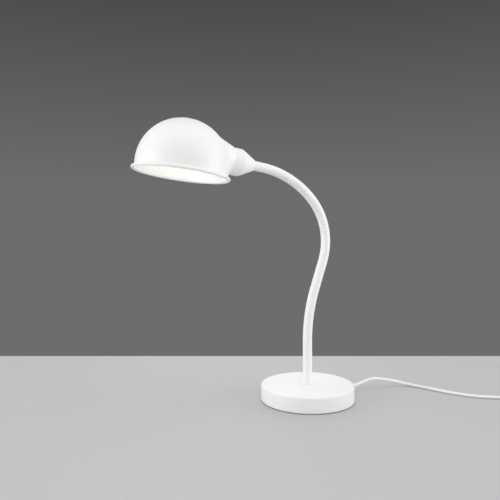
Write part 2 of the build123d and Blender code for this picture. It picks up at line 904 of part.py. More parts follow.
with BuildPart() as cord_run:
    with BuildLine() as cord_path:
        FilletPolyline(*route, radius=bend_radii)
    with BuildSketch(Plane(origin=route[0], z_dir=runs[0])):
        Circle(cord_radius)
    sweep()
save(cord_run, "cord_run")
print("cord run length:", round(cord_path.wire().length, 1))
print("cord run volume error:", round(tube_volume_error(cord_run, cord_path.wire()), 5))

# Switch shells, split at the middle of their height
switch_along = runs[-1].normalized()
switch_right = Vector(switch_along.Y, -switch_along.X, 0)
switch_entry = Vector(route[-1].X, route[-1].Y, 0)
switch_bench = Plane(origin=switch_entry, x_dir=switch_along, z_dir=(0, 0, 1))
switch_middle = switch_length / 2
switch_screw_places = (
    (switch_screw_inset, switch_screw_offset),
    (switch_length - switch_screw_inset, -switch_screw_offset),
)
switch_boss_radius = switch_screw_diameter / 2 + switch_boss_wall
switch_recess_depth = switch_screw_recess + switch_screw_head_height


def switch_outline(inset):
    """Draw the switch's plan, a rounded bar that narrows towards both cord ends."""
    shoulder = switch_width / 2 - inset
    tip = switch_end_width / 2 - inset
    corners = (
        (inset, -tip),
        (switch_taper, -shoulder),
        (switch_length - switch_taper, -shoulder),
        (switch_length - inset, -tip),
        (switch_length - inset, tip),
        (switch_length - switch_taper, shoulder),
        (switch_taper, shoulder),
        (inset, tip),
    )
    with BuildLine() as plan:
        Polyline(*corners, close=True)
    make_face(plan.edges())


def round_switch_plan(builder):
    """Round a shell's upright edges: widely at its shoulders and a little at its ends."""

    def from_middle(edge):
        return abs(switch_bench.to_local_coords(edge.center()).X - switch_middle)

    fillet(builder.edges().filter_by(Axis.Z).sort_by(from_middle)[:4], radius=switch_shoulder_radius)
    fillet(builder.edges().filter_by(Axis.Z).sort_by(from_middle)[-4:], radius=switch_end_radius)


with BuildPart() as switch_base:
    with BuildSketch(switch_bench):
        switch_outline(0)
    extrude(amount=switch_split)
    round_switch_plan(switch_base)
    fillet(switch_base.edges().group_by(Axis.Z)[0], radius=switch_edge_radius)
    with BuildSketch(switch_bench.offset(switch_wall)):
        switch_outline(switch_wall)
    extrude(amount=switch_split - switch_wall, mode=Mode.SUBTRACT)
    with BuildSketch(switch_bench):
        with Locations(*switch_screw_places):
            Circle(switch_screw_head / 2 + switch_boss_wall)
    extrude(amount=switch_recess_depth + switch_boss_wall)
    with BuildSketch(switch_bench):
        with Locations(*switch_screw_places):
            Circle(switch_boss_radius)
    extrude(amount=switch_split)
    with BuildSketch(switch_bench):
        with Locations(*switch_screw_places):
            Circle(switch_screw_head / 2 + hole_play)
    extrude(amount=switch_recess_depth, mode=Mode.SUBTRACT)
    with BuildSketch(switch_bench):
        with Locations(*switch_screw_places):
            Circle(switch_screw_diameter / 2 + hole_play)
    extrude(amount=switch_split, mode=Mode.SUBTRACT)
save(switch_base, "switch_base")

rocker_opening_length = rocker_length + 2 * rocker_end_gap
rocker_opening_width = rocker_width + 2 * rocker_gap
lug_middle = rocker_opening_width / 2 + lug_thickness / 2
lug_width = axle_diameter + 2 * lug_wall
with BuildPart() as switch_cover:
    with BuildSketch(switch_bench.offset(switch_split)):
        switch_outline(0)
    extrude(amount=switch_height - switch_split)
    round_switch_plan(switch_cover)
    fillet(switch_cover.edges().group_by(Axis.Z)[-1], radius=switch_edge_radius)
    with BuildSketch(switch_bench.offset(switch_split)):
        switch_outline(switch_wall)
    extrude(amount=switch_height - switch_split - switch_wall, mode=Mode.SUBTRACT)
    with BuildSketch(switch_bench.offset(switch_split)):
        with Locations(*switch_screw_places):
            Circle(switch_boss_radius)
    extrude(amount=switch_height - switch_split - switch_wall)
    with BuildSketch(switch_bench.offset(switch_split)):
        with Locations(*switch_screw_places):
            Circle(switch_screw_diameter / 2 + thread_play)
    extrude(amount=switch_recess_depth + switch_screw_length - switch_split, mode=Mode.SUBTRACT)
    with BuildSketch(switch_bench.offset(rocker_pivot_height - axle_diameter / 2 - lug_wall)):
        with Locations((switch_middle, 0)):
            with GridLocations(0, 2 * lug_middle, 1, 2):
                Rectangle(lug_width, lug_thickness)
    extrude(amount=switch_height - switch_wall - rocker_pivot_height + axle_diameter / 2 + lug_wall)
    with BuildSketch(switch_bench.offset(switch_height)):
        with Locations((switch_middle, 0)):
            Rectangle(rocker_opening_length, rocker_opening_width)
    extrude(amount=-2 * switch_wall, mode=Mode.SUBTRACT)
    pivot = switch_bench.from_local_coords(Vector(switch_middle, 0, rocker_pivot_height))
    with BuildSketch(Plane(origin=pivot, x_dir=switch_along, z_dir=-switch_right)):
        Circle(axle_diameter / 2 + thread_play)
    extrude(amount=lug_middle + lug_thickness, both=True, mode=Mode.SUBTRACT)
save(switch_cover, "switch_cover")

# Rocker, tipped to its on position
tipped = math.radians(rocker_tilt)
rocker_along = switch_along * math.cos(tipped) + Vector(0, 0, math.sin(tipped))
rocker_plane = Plane(origin=pivot, x_dir=rocker_along, z_dir=switch_right)
rocker_half = rocker_length / 2
with BuildPart() as switch_rocker:
    with BuildSketch(rocker_plane):
        with BuildLine():
            ThreePointArc(
                (-rocker_half, rocker_end_height),
                (0, rocker_end_height - rocker_dip),
                (rocker_half, rocker_end_height),
            )
            Polyline(
                (rocker_half, rocker_end_height),
                (rocker_half, -rocker_depth),
                (-rocker_half, -rocker_depth),
                (-rocker_half, rocker_end_height),
            )
        make_face()
    extrude(amount=rocker_width / 2, both=True)
    with BuildSketch(rocker_plane):
        Circle(axle_diameter / 2)
    extrude(amount=rocker_width / 2 + axle_length, both=True)
save(switch_rocker, "switch_rocker")

# Contacts on the floor of the switch, each a strip with an upright end
with BuildPart() as switch_contacts:
    for side in (-1, 1):
        inner_end = switch_middle + side * terminal_gap / 2
        with BuildSketch(switch_bench.offset(switch_wall)):
            with Locations((inner_end + side * terminal_length / 2, 0)):
                Rectangle(terminal_length, terminal_width)
        extrude(amount=terminal_strip)
        with BuildSketch(switch_bench.offset(switch_wall)):
            with Locations((inner_end + side * terminal_strip / 2, 0)):
                Rectangle(terminal_strip, terminal_width)
        extrude(amount=terminal_post)
save(switch_contacts, "switch_contacts")

# Screws that join the switch's shells
switch_screw_planes = []
for x, y in switch_screw_places:
    seat = switch_bench.from_local_coords(Vector(x, y, switch_recess_depth))
    switch_screw_planes.append(Plane(origin=seat))
switch_screws = screws(
    switch_screw_planes,
    switch_screw_diameter,
    switch_screw_length,
    switch_screw_head,
    switch_screw_head_height,
)
save(switch_screws, "switch_screws")

# Coil: two layers, spiralling in, climbing on a half turn and spiralling out again
coil_outer_radius = coil_inner_radius + coil_pitch * coil_layer_turns
coil_low = cord_radius + tie_strap + tie_gap
switch_exit = switch_entry + switch_along * switch_length
coil_middle = switch_exit + switch_along * coil_lead_in + switch_right * coil_outer_radius
coil_turns = 2 * coil_layer_turns + coil_climb_turns
coil_arcs = round(coil_turns * coil_arcs_per_turn)


def coil_point(turn):
    """Return the cord's centre after a number of turns of the coil."""
    if turn <= coil_layer_turns:
        radius = coil_outer_radius - coil_pitch * turn
        height = coil_low
    elif turn <= coil_layer_turns + coil_climb_turns:
        radius = coil_inner_radius
        height = coil_low + coil_layer_step * (turn - coil_layer_turns) / coil_climb_turns
    else:
        radius = coil_inner_radius + coil_pitch * (turn - coil_layer_turns - coil_climb_turns)
        height = coil_low + coil_layer_step
    angle = 2 * math.pi * turn
    spoke = switch_along * math.sin(angle) - switch_right * math.cos(angle)
    return coil_middle + spoke * radius + Vector(0, 0, height)


def biarc(start, start_direction, end, end_direction):
    """Draw two tangent arcs that leave and arrive in the given directions."""
    span = end - start
    total = start_direction + end_direction
    spread = 2 * (1 - start_direction.dot(end_direction))
    along = span.dot(total)
    if spread < 1e-9:
        reach = span.dot(span) / (4 * span.dot(start_direction))
    else:
        reach = (math.sqrt(along**2 + spread * span.dot(span)) - along) / spread
    first = start + start_direction * reach
    second = end - end_direction * reach
    joint = (first + second) / 2
    TangentArc(start, joint, tangent=start_direction)
    TangentArc(joint, end, tangent=second - first)


# Plug beside the coil, in line with the cord's tail
coil_end = coil_point(coil_turns)
plug_height = plug_thickness / 2
tail_end = coil_end - switch_along * coil_tail
tail_end = Vector(tail_end.X, tail_end.Y, plug_height)
coil_start = Vector(switch_exit.X, switch_exit.Y, switch_cord_height)
straight = switch_along * cord_diameter
half_arc = 1 / (2 * coil_arcs_per_turn)
with BuildPart() as cord_coil:
    with BuildLine() as coil_path:
        Line(coil_start, coil_start + straight)
        point = coil_start + straight
        direction = switch_along
        for count in range(coil_arcs + 1):
            turn = count / coil_arcs_per_turn
            target = coil_point(turn)
            if count == 0:
                arrival = switch_along
            elif count == coil_arcs:
                arrival = -switch_along
            else:
                arrival = (coil_point(turn + half_arc) - coil_point(turn - half_arc)).normalized()
            biarc(point, direction, target, arrival)
            point = target
            direction = arrival
        biarc(point, direction, tail_end + straight, -switch_along)
        Line(tail_end + straight, tail_end)
    with BuildSketch(Plane(origin=coil_start, z_dir=switch_along)):
        Circle(cord_radius)
    sweep()
save(cord_coil, "cord_coil")

coil_wire = coil_path.wire()
print("coil length:", round(coil_wire.length, 1))
print("coil volume error:", round(tube_volume_error(cord_coil, coil_wire), 5))
sample_count = int(coil_wire.length / 2)
samples = [coil_wire.position_at(count / sample_count) for count in range(sample_count + 1)]
apart = int(4 * cord_diameter * sample_count / coil_wire.length)
least_gap = min(
    (near - far).length
    for index, near in enumerate(samples)
    for far in samples[index + apart :]
)
print("coil least gap to itself:", round(least_gap - cord_diameter, 2))

# Tie round the coil's bundle, a quarter turn after the coil begins
tie_inner = coil_inner_radius - cord_radius - 3 * tie_gap
tie_outer = coil_outer_radius + cord_radius - coil_pitch / 4 + tie_gap
tie_height = coil_layer_step + cord_diameter + 2 * tie_gap
tie_side = Plane(origin=coil_middle, x_dir=switch_along, z_dir=switch_right)
with BuildPart() as coil_tie:
    with BuildSketch(tie_side):
        with Locations(((tie_inner + tie_outer) / 2, tie_strap + tie_height / 2)):
            RectangleRounded(
                tie_outer - tie_inner + 2 * tie_strap, tie_height + 2 * tie_strap, radius=cord_radius / 2
            )
            Rectangle(tie_outer - tie_inner, tie_height, mode=Mode.SUBTRACT)
    extrude(amount=tie_width / 2, both=True)
save(coil_tie, "coil_tie")

# Two-pin plug: a flat body with bevelled sides and a ribbed boot
plug_bench = Plane(origin=tail_end, x_dir=-switch_along, z_dir=(0, 0, 1))
plug_back = plug_boot_length
plug_front = plug_boot_length + plug_length
pin_core = pin_diameter / 2 - pin_sleeve_wall
pin_plane = Plane(origin=tail_end - switch_along * plug_front, x_dir=switch_right, z_dir=-switch_along)
with BuildPart() as plug_body:
    with BuildSketch(plug_bench.offset(-plug_height)):
        with BuildLine():
            Polyline(
                (plug_back, -plug_rear_width / 2),
                (plug_front - plug_front_length, -plug_width / 2),
                (plug_front, -plug_width / 2),
                (plug_front, plug_width / 2),
                (plug_front - plug_front_length, plug_width / 2),
                (plug_back, plug_rear_width / 2),
                close=True,
            )
        make_face()
    extrude(amount=plug_thickness)
    level_edges = plug_body.edges().filter_by(Plane.XY)
    side_edges = level_edges.sort_by(
        lambda edge: abs(plug_bench.to_local_coords(edge.center()).Y), reverse=True
    )
    chamfer(side_edges[:8], length=plug_bevel)
    with BuildSketch(Plane(origin=tail_end, z_dir=-switch_along)):
        Circle(plug_boot_tip / 2)
    with BuildSketch(Plane(origin=tail_end - switch_along * plug_boot_length, z_dir=-switch_along)):
        Circle(plug_boot_root / 2)
    loft()
    for rib in range(plug_boot_ribs):
        offset_along = plug_boot_length * (rib + 0.5) / plug_boot_ribs
        share = offset_along / plug_boot_length
        radius = plug_boot_tip / 2 + share * (plug_boot_root - plug_boot_tip) / 2
        groove_start = tail_end - switch_along * (offset_along - plug_boot_rib / 2)
        with BuildSketch(Plane(origin=groove_start, z_dir=-switch_along)):
            Circle(plug_boot_root)
            Circle(radius - plug_boot_rib_depth, mode=Mode.SUBTRACT)
        extrude(amount=plug_boot_rib, mode=Mode.SUBTRACT)
    with BuildSketch(pin_plane):
        with GridLocations(pin_spacing, 0, 2, 1):
            Circle(pin_core)
    extrude(amount=-pin_embedded, mode=Mode.SUBTRACT)
save(plug_body, "plug_body")

# Pins with bare tips, and the insulating sleeves next to the plug's face
with BuildPart() as plug_pins:
    with BuildSketch(pin_plane.offset(-pin_embedded)):
        with GridLocations(pin_spacing, 0, 2, 1):
            Circle(pin_core)
    extrude(amount=pin_embedded + pin_sleeve_length)
    with BuildSketch(pin_plane.offset(pin_sleeve_length)):
        with GridLocations(pin_spacing, 0, 2, 1):
            Circle(pin_diameter / 2)
    extrude(amount=pin_length - pin_sleeve_length)
    fillet(plug_pins.edges().group_by(Axis(tail_end, -switch_along))[-1], radius=pin_core - pin_sleeve_wall)
save(plug_pins, "plug_pins")

with BuildPart() as pin_sleeves:
    with BuildSketch(pin_plane):
        with GridLocations(pin_spacing, 0, 2, 1):
            Circle(pin_diameter / 2)
            Circle(pin_core, mode=Mode.SUBTRACT)
    extrude(amount=pin_sleeve_length)
save(pin_sleeves, "pin_sleeves")
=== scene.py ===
"""Dresses the desk lamp: round base, flexible sleeved neck, dome shade, cord, switch, coil and plug.

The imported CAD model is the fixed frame. Sizes are in millimetres, and meshes are made in metres.
"""

import json
import logging
import math
from dataclasses import dataclass, field
from enum import Enum
from typing import Sequence

import bmesh
import bpy
import numpy as np
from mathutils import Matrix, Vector


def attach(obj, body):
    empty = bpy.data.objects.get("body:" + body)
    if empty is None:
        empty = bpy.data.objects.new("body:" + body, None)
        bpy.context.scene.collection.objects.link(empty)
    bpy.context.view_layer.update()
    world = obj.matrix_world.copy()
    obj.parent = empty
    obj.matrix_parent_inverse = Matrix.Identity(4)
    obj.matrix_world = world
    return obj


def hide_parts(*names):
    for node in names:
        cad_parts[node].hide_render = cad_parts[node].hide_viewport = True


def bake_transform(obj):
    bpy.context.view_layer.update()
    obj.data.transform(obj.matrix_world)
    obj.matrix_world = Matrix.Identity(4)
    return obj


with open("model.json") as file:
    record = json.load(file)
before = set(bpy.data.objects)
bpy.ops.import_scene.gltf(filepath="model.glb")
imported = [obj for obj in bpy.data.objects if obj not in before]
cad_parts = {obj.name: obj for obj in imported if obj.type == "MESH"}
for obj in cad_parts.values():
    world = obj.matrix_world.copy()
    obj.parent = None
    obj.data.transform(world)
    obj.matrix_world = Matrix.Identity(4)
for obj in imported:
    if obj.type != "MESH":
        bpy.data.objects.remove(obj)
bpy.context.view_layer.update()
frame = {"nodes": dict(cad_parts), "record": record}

LOG = logging.getLogger("desk_lamp")
MM = 0.001

# Points closer than this, in metres, are one point.
WELD = 1e-6

# Rounded corners have a point about every this many degrees, and at least so many stretches.
ARC_STEP = 9.0
ARC_LEAST_STEPS = 3

# Numbers of the Mix node's colour sockets, whose names its other sockets share.
MIX_FIRST, MIX_SECOND, MIX_RESULT = 6, 7, 2

Point = tuple[float, float]
Corner = tuple[float, float, float]
Place = tuple[float, float, float]
Colour = tuple[float, float, float]


class Body(Enum):
    """Bodies of the frame that carry rigid pieces."""

    BASE = "base"
    HEAD = "head"


class Slot(Enum):
    """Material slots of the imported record."""

    PAINT = "white_paint"
    SLEEVE = "white_sleeve"
    CORD = "white_cord"
    PLASTIC = "white_plastic"
    HOLDER = "holder_plastic"
    OPAL = "opal_plastic"
    RUBBER = "grey_rubber"
    STEEL = "steel"
    IRON = "iron"
    BRASS = "brass"
    NICKEL = "nickel"
    WIRE = "wire_insulation"


class NodeDesk:
    """Adds nodes to one node tree and joins them."""

    def __init__(self, tree: bpy.types.NodeTree) -> None:
        """Take the tree that the nodes go into."""
        self.tree = tree

    def add(self, kind: str, values: dict | None = None, **settings: object) -> bpy.types.Node:
        """Add a node, set its properties, and fill or join its inputs.

        Args:
            kind: Blender's name of the node type.
            values: Input names or numbers with a plain value or another node's output socket.
            settings: Node properties to set first.

        Returns:
            The new node.
        """
        node = self.tree.nodes.new(kind)
        for name, value in settings.items():
            setattr(node, name, value)
        for name, value in (values or {}).items():
            if isinstance(value, bpy.types.NodeSocket):
                self.tree.links.new(value, node.inputs[name])
            else:
                node.inputs[name].default_value = value
        return node

    def mix(self, factor: bpy.types.NodeSocket, first: Colour, second: Colour) -> bpy.types.NodeSocket:
        """Mix two colours.

        Args:
            factor: Share of the second colour.
            first: Colour where the factor is 0.
            second: Colour where the factor is 1.

        Returns:
            The mixed colour's socket.
        """
        values = {"Factor": factor, MIX_FIRST: (*first, 1.0), MIX_SECOND: (*second, 1.0)}
        return self.add("ShaderNodeMix", values, data_type="RGBA").outputs[MIX_RESULT]

    def put_out(self, name: str, geometry: bpy.types.NodeSocket, material: bpy.types.NodeSocket) -> None:
        """End a geometry tree: make its instances plain, set their material and put them out.

        Args:
            name: Name of the tree's output.
            geometry: Geometry that the tree has made.
            material: Material that it gets.
        """
        whole = self.add("GeometryNodeRealizeInstances", {"Geometry": geometry}).outputs["Geometry"]
        painted = self.add("GeometryNodeSetMaterial", {"Geometry": whole, "Material": material})
        self.add("NodeGroupOutput", {name: painted.outputs["Geometry"]})


def new_group(name: str, kind: str, inputs: dict[str, str], outputs: dict[str, str]) -> bpy.types.NodeTree:
    """Make an empty node group with named sockets.

    Args:
        name: Name of the group.
        kind: Tree type, for shaders or for geometry.
        inputs: Input names with their socket types.
        outputs: Output names with their socket types.

    Returns:
        The node group.
    """
    group = bpy.data.node_groups.new(name, kind)
    for label, socket in inputs.items():
        group.interface.new_socket(name=label, in_out="INPUT", socket_type=socket)
    for label, socket in outputs.items():
        group.interface.new_socket(name=label, in_out="OUTPUT", socket_type=socket)
    return group


def noise_group(
    name: str, output: str, detail: float, roughness: float, span: Point | None = None
) -> bpy.types.NodeTree:
    """Build a shared effect: noise over the surface, at a scale of its own in each material.

    Args:
        name: Name of the group.
        output: Name of its output.
        detail: Number of finer layers in the noise.
        roughness: Weight of the finer layers.
        span: Noise values that go out as 0 and 1, or none where the noise goes out as it is.

    Returns:
        The node group.
    """
    sockets = {"Vector": "NodeSocketVector", "Scale": "NodeSocketFloat"}
    group = new_group(name, "ShaderNodeTree", sockets, {output: "NodeSocketFloat"})
    desk = NodeDesk(group)
    given = desk.add("NodeGroupInput").outputs
    values = {"Vector": given["Vector"], "Scale": given["Scale"], "Detail": detail, "Roughness": roughness}
    result = desk.add("ShaderNodeTexNoise", values).outputs["Fac"]
    if span:
        spread = {"Value": result, "From Min": span[0], "From Max": span[1]}
        result = desk.add("ShaderNodeMapRange", spread).outputs["Result"]
    desk.add("NodeGroupOutput", {output: result})
    return group


GRAIN = noise_group("Fine grain", "Height", detail=2.0, roughness=0.45)
MOTTLE = noise_group("Soft mottle", "Mask", detail=3.0, roughness=0.5, span=(0.35, 0.65))


@dataclass(frozen=True)
class Finish:
    """A procedural finish with a soft mottle of tone and gloss and a fine grain.

    Attributes:
        slot: Record slot that the finish dresses.
        colour: Main colour, linear.
        tone: Second colour of the mottle, linear.
        gloss: Lowest and highest roughness.
        metallic: Metallic value of the surface.
        grain_scale: Grains in a metre.
        grain_depth: Height of the grain in millimetres.
        mottle_scale: Patches of the mottle in a metre.
        glow: Emission strength, none where it is zero.
        glow_colour: Colour of the emission.
    """

    slot: Slot
    colour: Colour
    tone: Colour
    gloss: Point
    metallic: float = 0.0
    grain_scale: float = 900.0
    grain_depth: float = 0.02
    mottle_scale: float = 14.0
    glow: float = 0.0
    glow_colour: Colour = (1.0, 1.0, 1.0)

    def material(self) -> bpy.types.Material:
        """Build the finish's material.

        Returns:
            The material, with its nodes joined.
        """
        material = bpy.data.materials.new(self.slot.value)
        material.use_nodes = True
        material.node_tree.nodes.clear()
        desk = NodeDesk(material.node_tree)
        place = desk.add("ShaderNodeTexCoord").outputs["Object"]
        mottle = desk.add(
            "ShaderNodeGroup", {"Vector": place, "Scale": self.mottle_scale}, node_tree=MOTTLE
        )
        grain = desk.add("ShaderNodeGroup", {"Vector": place, "Scale": self.grain_scale}, node_tree=GRAIN)
        colour = desk.mix(mottle.outputs["Mask"], self.colour, self.tone)
        gloss = desk.add(
            "ShaderNodeMapRange",
            {"Value": mottle.outputs["Mask"], "To Min": self.gloss[0], "To Max": self.gloss[1]},
        )
        bump = desk.add(
            "ShaderNodeBump",
            {"Height": grain.outputs["Height"], "Distance": self.grain_depth * MM, "Strength": 1.0},
        )
        surface = desk.add(
            "ShaderNodeBsdfPrincipled",
            {
                "Base Color": colour,
                "Roughness": gloss.outputs["Result"],
                "Metallic": self.metallic,
                "Normal": bump.outputs["Normal"],
                "Emission Color": (*self.glow_colour, 1.0),
                "Emission Strength": self.glow,
            },
        )
        desk.add("ShaderNodeOutputMaterial", {"Surface": surface.outputs["BSDF"]})
        return material


FINISHES = (
    Finish(Slot.PAINT, (0.83, 0.83, 0.826), (0.81, 0.81, 0.806), (0.36, 0.44), grain_depth=0.012),
    Finish(
        Slot.SLEEVE,
        (0.83, 0.83, 0.826),
        (0.815, 0.815, 0.811),
        (0.36, 0.42),
        grain_scale=1500,
        grain_depth=0.004,
    ),
    Finish(Slot.CORD, (0.86, 0.86, 0.852), (0.83, 0.83, 0.822), (0.42, 0.52), grain_scale=1500),
    Finish(Slot.PLASTIC, (0.80, 0.80, 0.795), (0.78, 0.78, 0.775), (0.34, 0.42), grain_scale=2000),
    Finish(Slot.HOLDER, (0.74, 0.74, 0.72), (0.72, 0.72, 0.70), (0.30, 0.38), grain_scale=2000),
    Finish(
        Slot.OPAL,
        (0.86, 0.86, 0.83),
        (0.84, 0.84, 0.81),
        (0.30, 0.36),
        grain_depth=0.004,
        glow=4.7,
        glow_colour=(1.0, 0.98, 0.91),
    ),
    Finish(Slot.RUBBER, (0.045, 0.045, 0.047), (0.06, 0.06, 0.062), (0.62, 0.75), grain_depth=0.05),
    Finish(Slot.STEEL, (0.55, 0.55, 0.56), (0.48, 0.48, 0.49), (0.30, 0.42), metallic=1.0),
    Finish(Slot.IRON, (0.09, 0.088, 0.085), (0.13, 0.12, 0.115), (0.62, 0.80), grain_depth=0.15),
    Finish(Slot.BRASS, (0.72, 0.53, 0.22), (0.62, 0.43, 0.17), (0.24, 0.36), metallic=1.0),
    Finish(Slot.NICKEL, (0.66, 0.64, 0.60), (0.60, 0.58, 0.54), (0.18, 0.28), metallic=1.0),
    Finish(Slot.WIRE, (0.36, 0.13, 0.06), (0.30, 0.10, 0.05), (0.40, 0.50)),
)
MATERIALS = {finish.slot: finish.material() for finish in FINISHES}
NODE_SLOTS = {part["node"]: Slot(part["material_slot"]) for part in frame["record"]["subparts"]}
NODE_BODIES = {node: body for body, nodes in frame["record"]["behaviour"]["bodies"].items() for node in nodes}


def arc(middle: Point, radius: float, start: float, end: float, steps: int) -> list[Point]:
    """List points along a circular arc.

    Args:
        middle: Centre of the arc.
        radius: Radius of the arc.
        start: Angle of the first point in degrees.
        end: Angle of the last point in degrees.
        steps: Number of stretches between the points.

    Returns:
        The points, with both ends.
    """
    angles = [math.radians(start + (end - start) * step / steps) for step in range(steps + 1)]
    return [(middle[0] + radius * math.cos(a), middle[1] + radius * math.sin(a)) for a in angles]


def rounded(corners: Sequence[Corner], closed: bool = True) -> list[Point]:
    """Round the corners of an outline.

    Args:
        corners: Corner points, each with its rounding radius, zero for a sharp one.
        closed: Whether the last corner joins the first.

    Returns:
        The outline's points, with each rounded corner as an arc.
    """
    points: list[Point] = []
    count = len(corners)
    for index, (x, y, radius) in enumerate(corners):
        is_end = not closed and index in (0, count - 1)
        if radius == 0 or is_end:
            points.append((x, y))
            continue
        here = Vector((x, y))
        back = (Vector(corners[index - 1][:2]) - here).normalized()
        ahead = (Vector(corners[(index + 1) % count][:2]) - here).normalized()
        half = back.angle(ahead) / 2
        middle = here + (back + ahead).normalized() * (radius / math.sin(half))
        first = math.atan2(*reversed(here + back * (radius / math.tan(half)) - middle))
        last = math.atan2(*reversed(here + ahead * (radius / math.tan(half)) - middle))
        sweep = (last - first + math.pi) % math.tau - math.pi
        steps = max(ARC_LEAST_STEPS, round(abs(math.degrees(sweep)) / ARC_STEP))
        points += arc(tuple(middle), radius, math.degrees(first), math.degrees(first + sweep), steps)
    return points


def circle_angles(count: int) -> np.ndarray:
    """Return angles spread evenly round a circle, the first at zero."""
    return np.linspace(0, math.tau, count, endpoint=False)


def new_piece(name: str, data: bpy.types.ID) -> bpy.types.Object:
    """Put a mesh, curve, light or camera in the scene as an object at the origin.

    Args:
        name: Name of the object.
        data: What it shows, with its place in its points where it has them.

    Returns:
        The object.
    """
    piece = bpy.data.objects.new(name, data)
    bpy.context.collection.objects.link(piece)
    return piece


def new_curve(name: str, kind: str, places: Sequence[Sequence[float]]) -> bpy.types.Object:
    """Put a curve of one open spline in the scene.

    Args:
        name: Name of the curve.
        kind: Type of the spline.
        places: Its points in millimetres.

    Returns:
        The object.
    """
    curve = bpy.data.curves.new(name, "CURVE")
    curve.dimensions = "3D"
    spline = curve.splines.new(kind)
    spline.points.add(len(places) - 1)
    for point, place in zip(spline.points, places):
        point.co = (*(Vector(place) * MM), 1.0)
    return new_piece(name, curve)


def smooth_by_angle(mesh: bpy.types.Mesh, degrees: float = 38.0) -> None:
    """Shade a mesh smooth, with sharp edges where its faces turn by more than an angle.

    Args:
        mesh: Mesh to shade.
        degrees: Angle from which an edge is sharp.
    """
    mesh.polygons.foreach_set("use_smooth", [True] * len(mesh.polygons))
    mesh.set_sharp_from_angle(angle=math.radians(degrees))


def run_tree(
    name: str, host: bpy.types.Object, tree: bpy.types.NodeTree, inputs: dict[str, object]
) -> bpy.types.Object:
    """Run a geometry node tree on an object, and put the result in its place as a plain piece.

    Args:
        name: Name of the piece.
        host: Object whose geometry goes into the tree, which is then removed.
        tree: Geometry node tree to run.
        inputs: Values of the tree's named inputs.

    Returns:
        The piece.
    """
    modifier = host.modifiers.new("grow", "NODES")
    modifier.node_group = tree
    for item in tree.interface.items_tree:
        if item.name in inputs:
            modifier[item.identifier] = inputs[item.name]
    graph = bpy.context.evaluated_depsgraph_get()
    mesh = bpy.data.meshes.new_from_object(host.evaluated_get(graph), depsgraph=graph)
    host.modifiers.remove(modifier)
    bpy.data.objects.remove(host)
    mesh.name = name
    smooth_by_angle(mesh)
    return new_piece(name, mesh)


def grid_piece(name: str, grid: np.ndarray, wrap_rows: bool) -> bpy.types.Object:
    """Make a piece from a grid of points whose columns go round and close.

    Args:
        name: Name of the piece.
        grid: Points in metres, by row, column and axis.
        wrap_rows: Whether the last row joins the first.

    Returns:
        The piece, closed, with its faces outwards.
    """
    rows, columns, _ = grid.shape
    body = bmesh.new()
    corners = [[body.verts.new(point) for point in row] for row in grid]
    for row in range(rows if wrap_rows else rows - 1):
        low, high = corners[row], corners[(row + 1) % rows]
        for column in range(columns):
            after = (column + 1) % columns
            body.faces.new((low[column], low[after], high[after], high[column]))
    bmesh.ops.remove_doubles(body, verts=body.verts, dist=WELD)
    if body.calc_volume(signed=True) < 0:
        bmesh.ops.reverse_faces(body, faces=body.faces)
    mesh = bpy.data.meshes.new(name)
    body.to_mesh(mesh)
    body.free()
    smooth_by_angle(mesh)
    return new_piece(name, mesh)


@dataclass(frozen=True)
class Axle:
    """A line that turned pieces are made round, in millimetres.

    Attributes:
        origin: Point on the line from which distances count.
        along: Direction of the line.
        across: Direction square to it, from which angles count.
    """

    origin: Vector
    along: Vector
    across: Vector

    def turn(
        self, name: str, outline: Sequence[Point], segments: int, closed: bool = True
    ) -> bpy.types.Object:
        """Turn an outline round the line.

        Args:
            name: Name of the piece.
            outline: Points as distance along the line and radius.
            segments: Number of stretches round the line.
            closed: Whether the outline closes on itself, or else starts and ends on the line.

        Returns:
            The turned piece.
        """
        side = self.along.cross(self.across)
        angles = circle_angles(segments)
        ring = np.outer(np.cos(angles), self.across) + np.outer(np.sin(angles), side)
        rows = [np.array(self.origin + self.along * distance) + ring * radius for distance, radius in outline]
        return grid_piece(name, np.array(rows) * MM, wrap_rows=closed)


def dress(piece: bpy.types.Object, slot: Slot, *nodes: str) -> bpy.types.Object:
    """Give a piece its finish and let it stand for CAD nodes.

    Args:
        piece: Piece to dress.
        slot: Record slot of its finish.
        nodes: CAD nodes that it stands for.

    Returns:
        The same piece.
    """
    piece.data.materials.clear()
    piece.data.materials.append(MATERIALS[slot])
    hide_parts(*nodes)
    LOG.info("%s: %d faces for %s", piece.name, len(getattr(piece.data, "polygons", ())), ", ".join(nodes))
    return piece


@dataclass(frozen=True)
class SoftLight:
    """A square area light: its name, place, length of side, and power in watts."""

    name: str
    place: Place
    size: float
    power: float


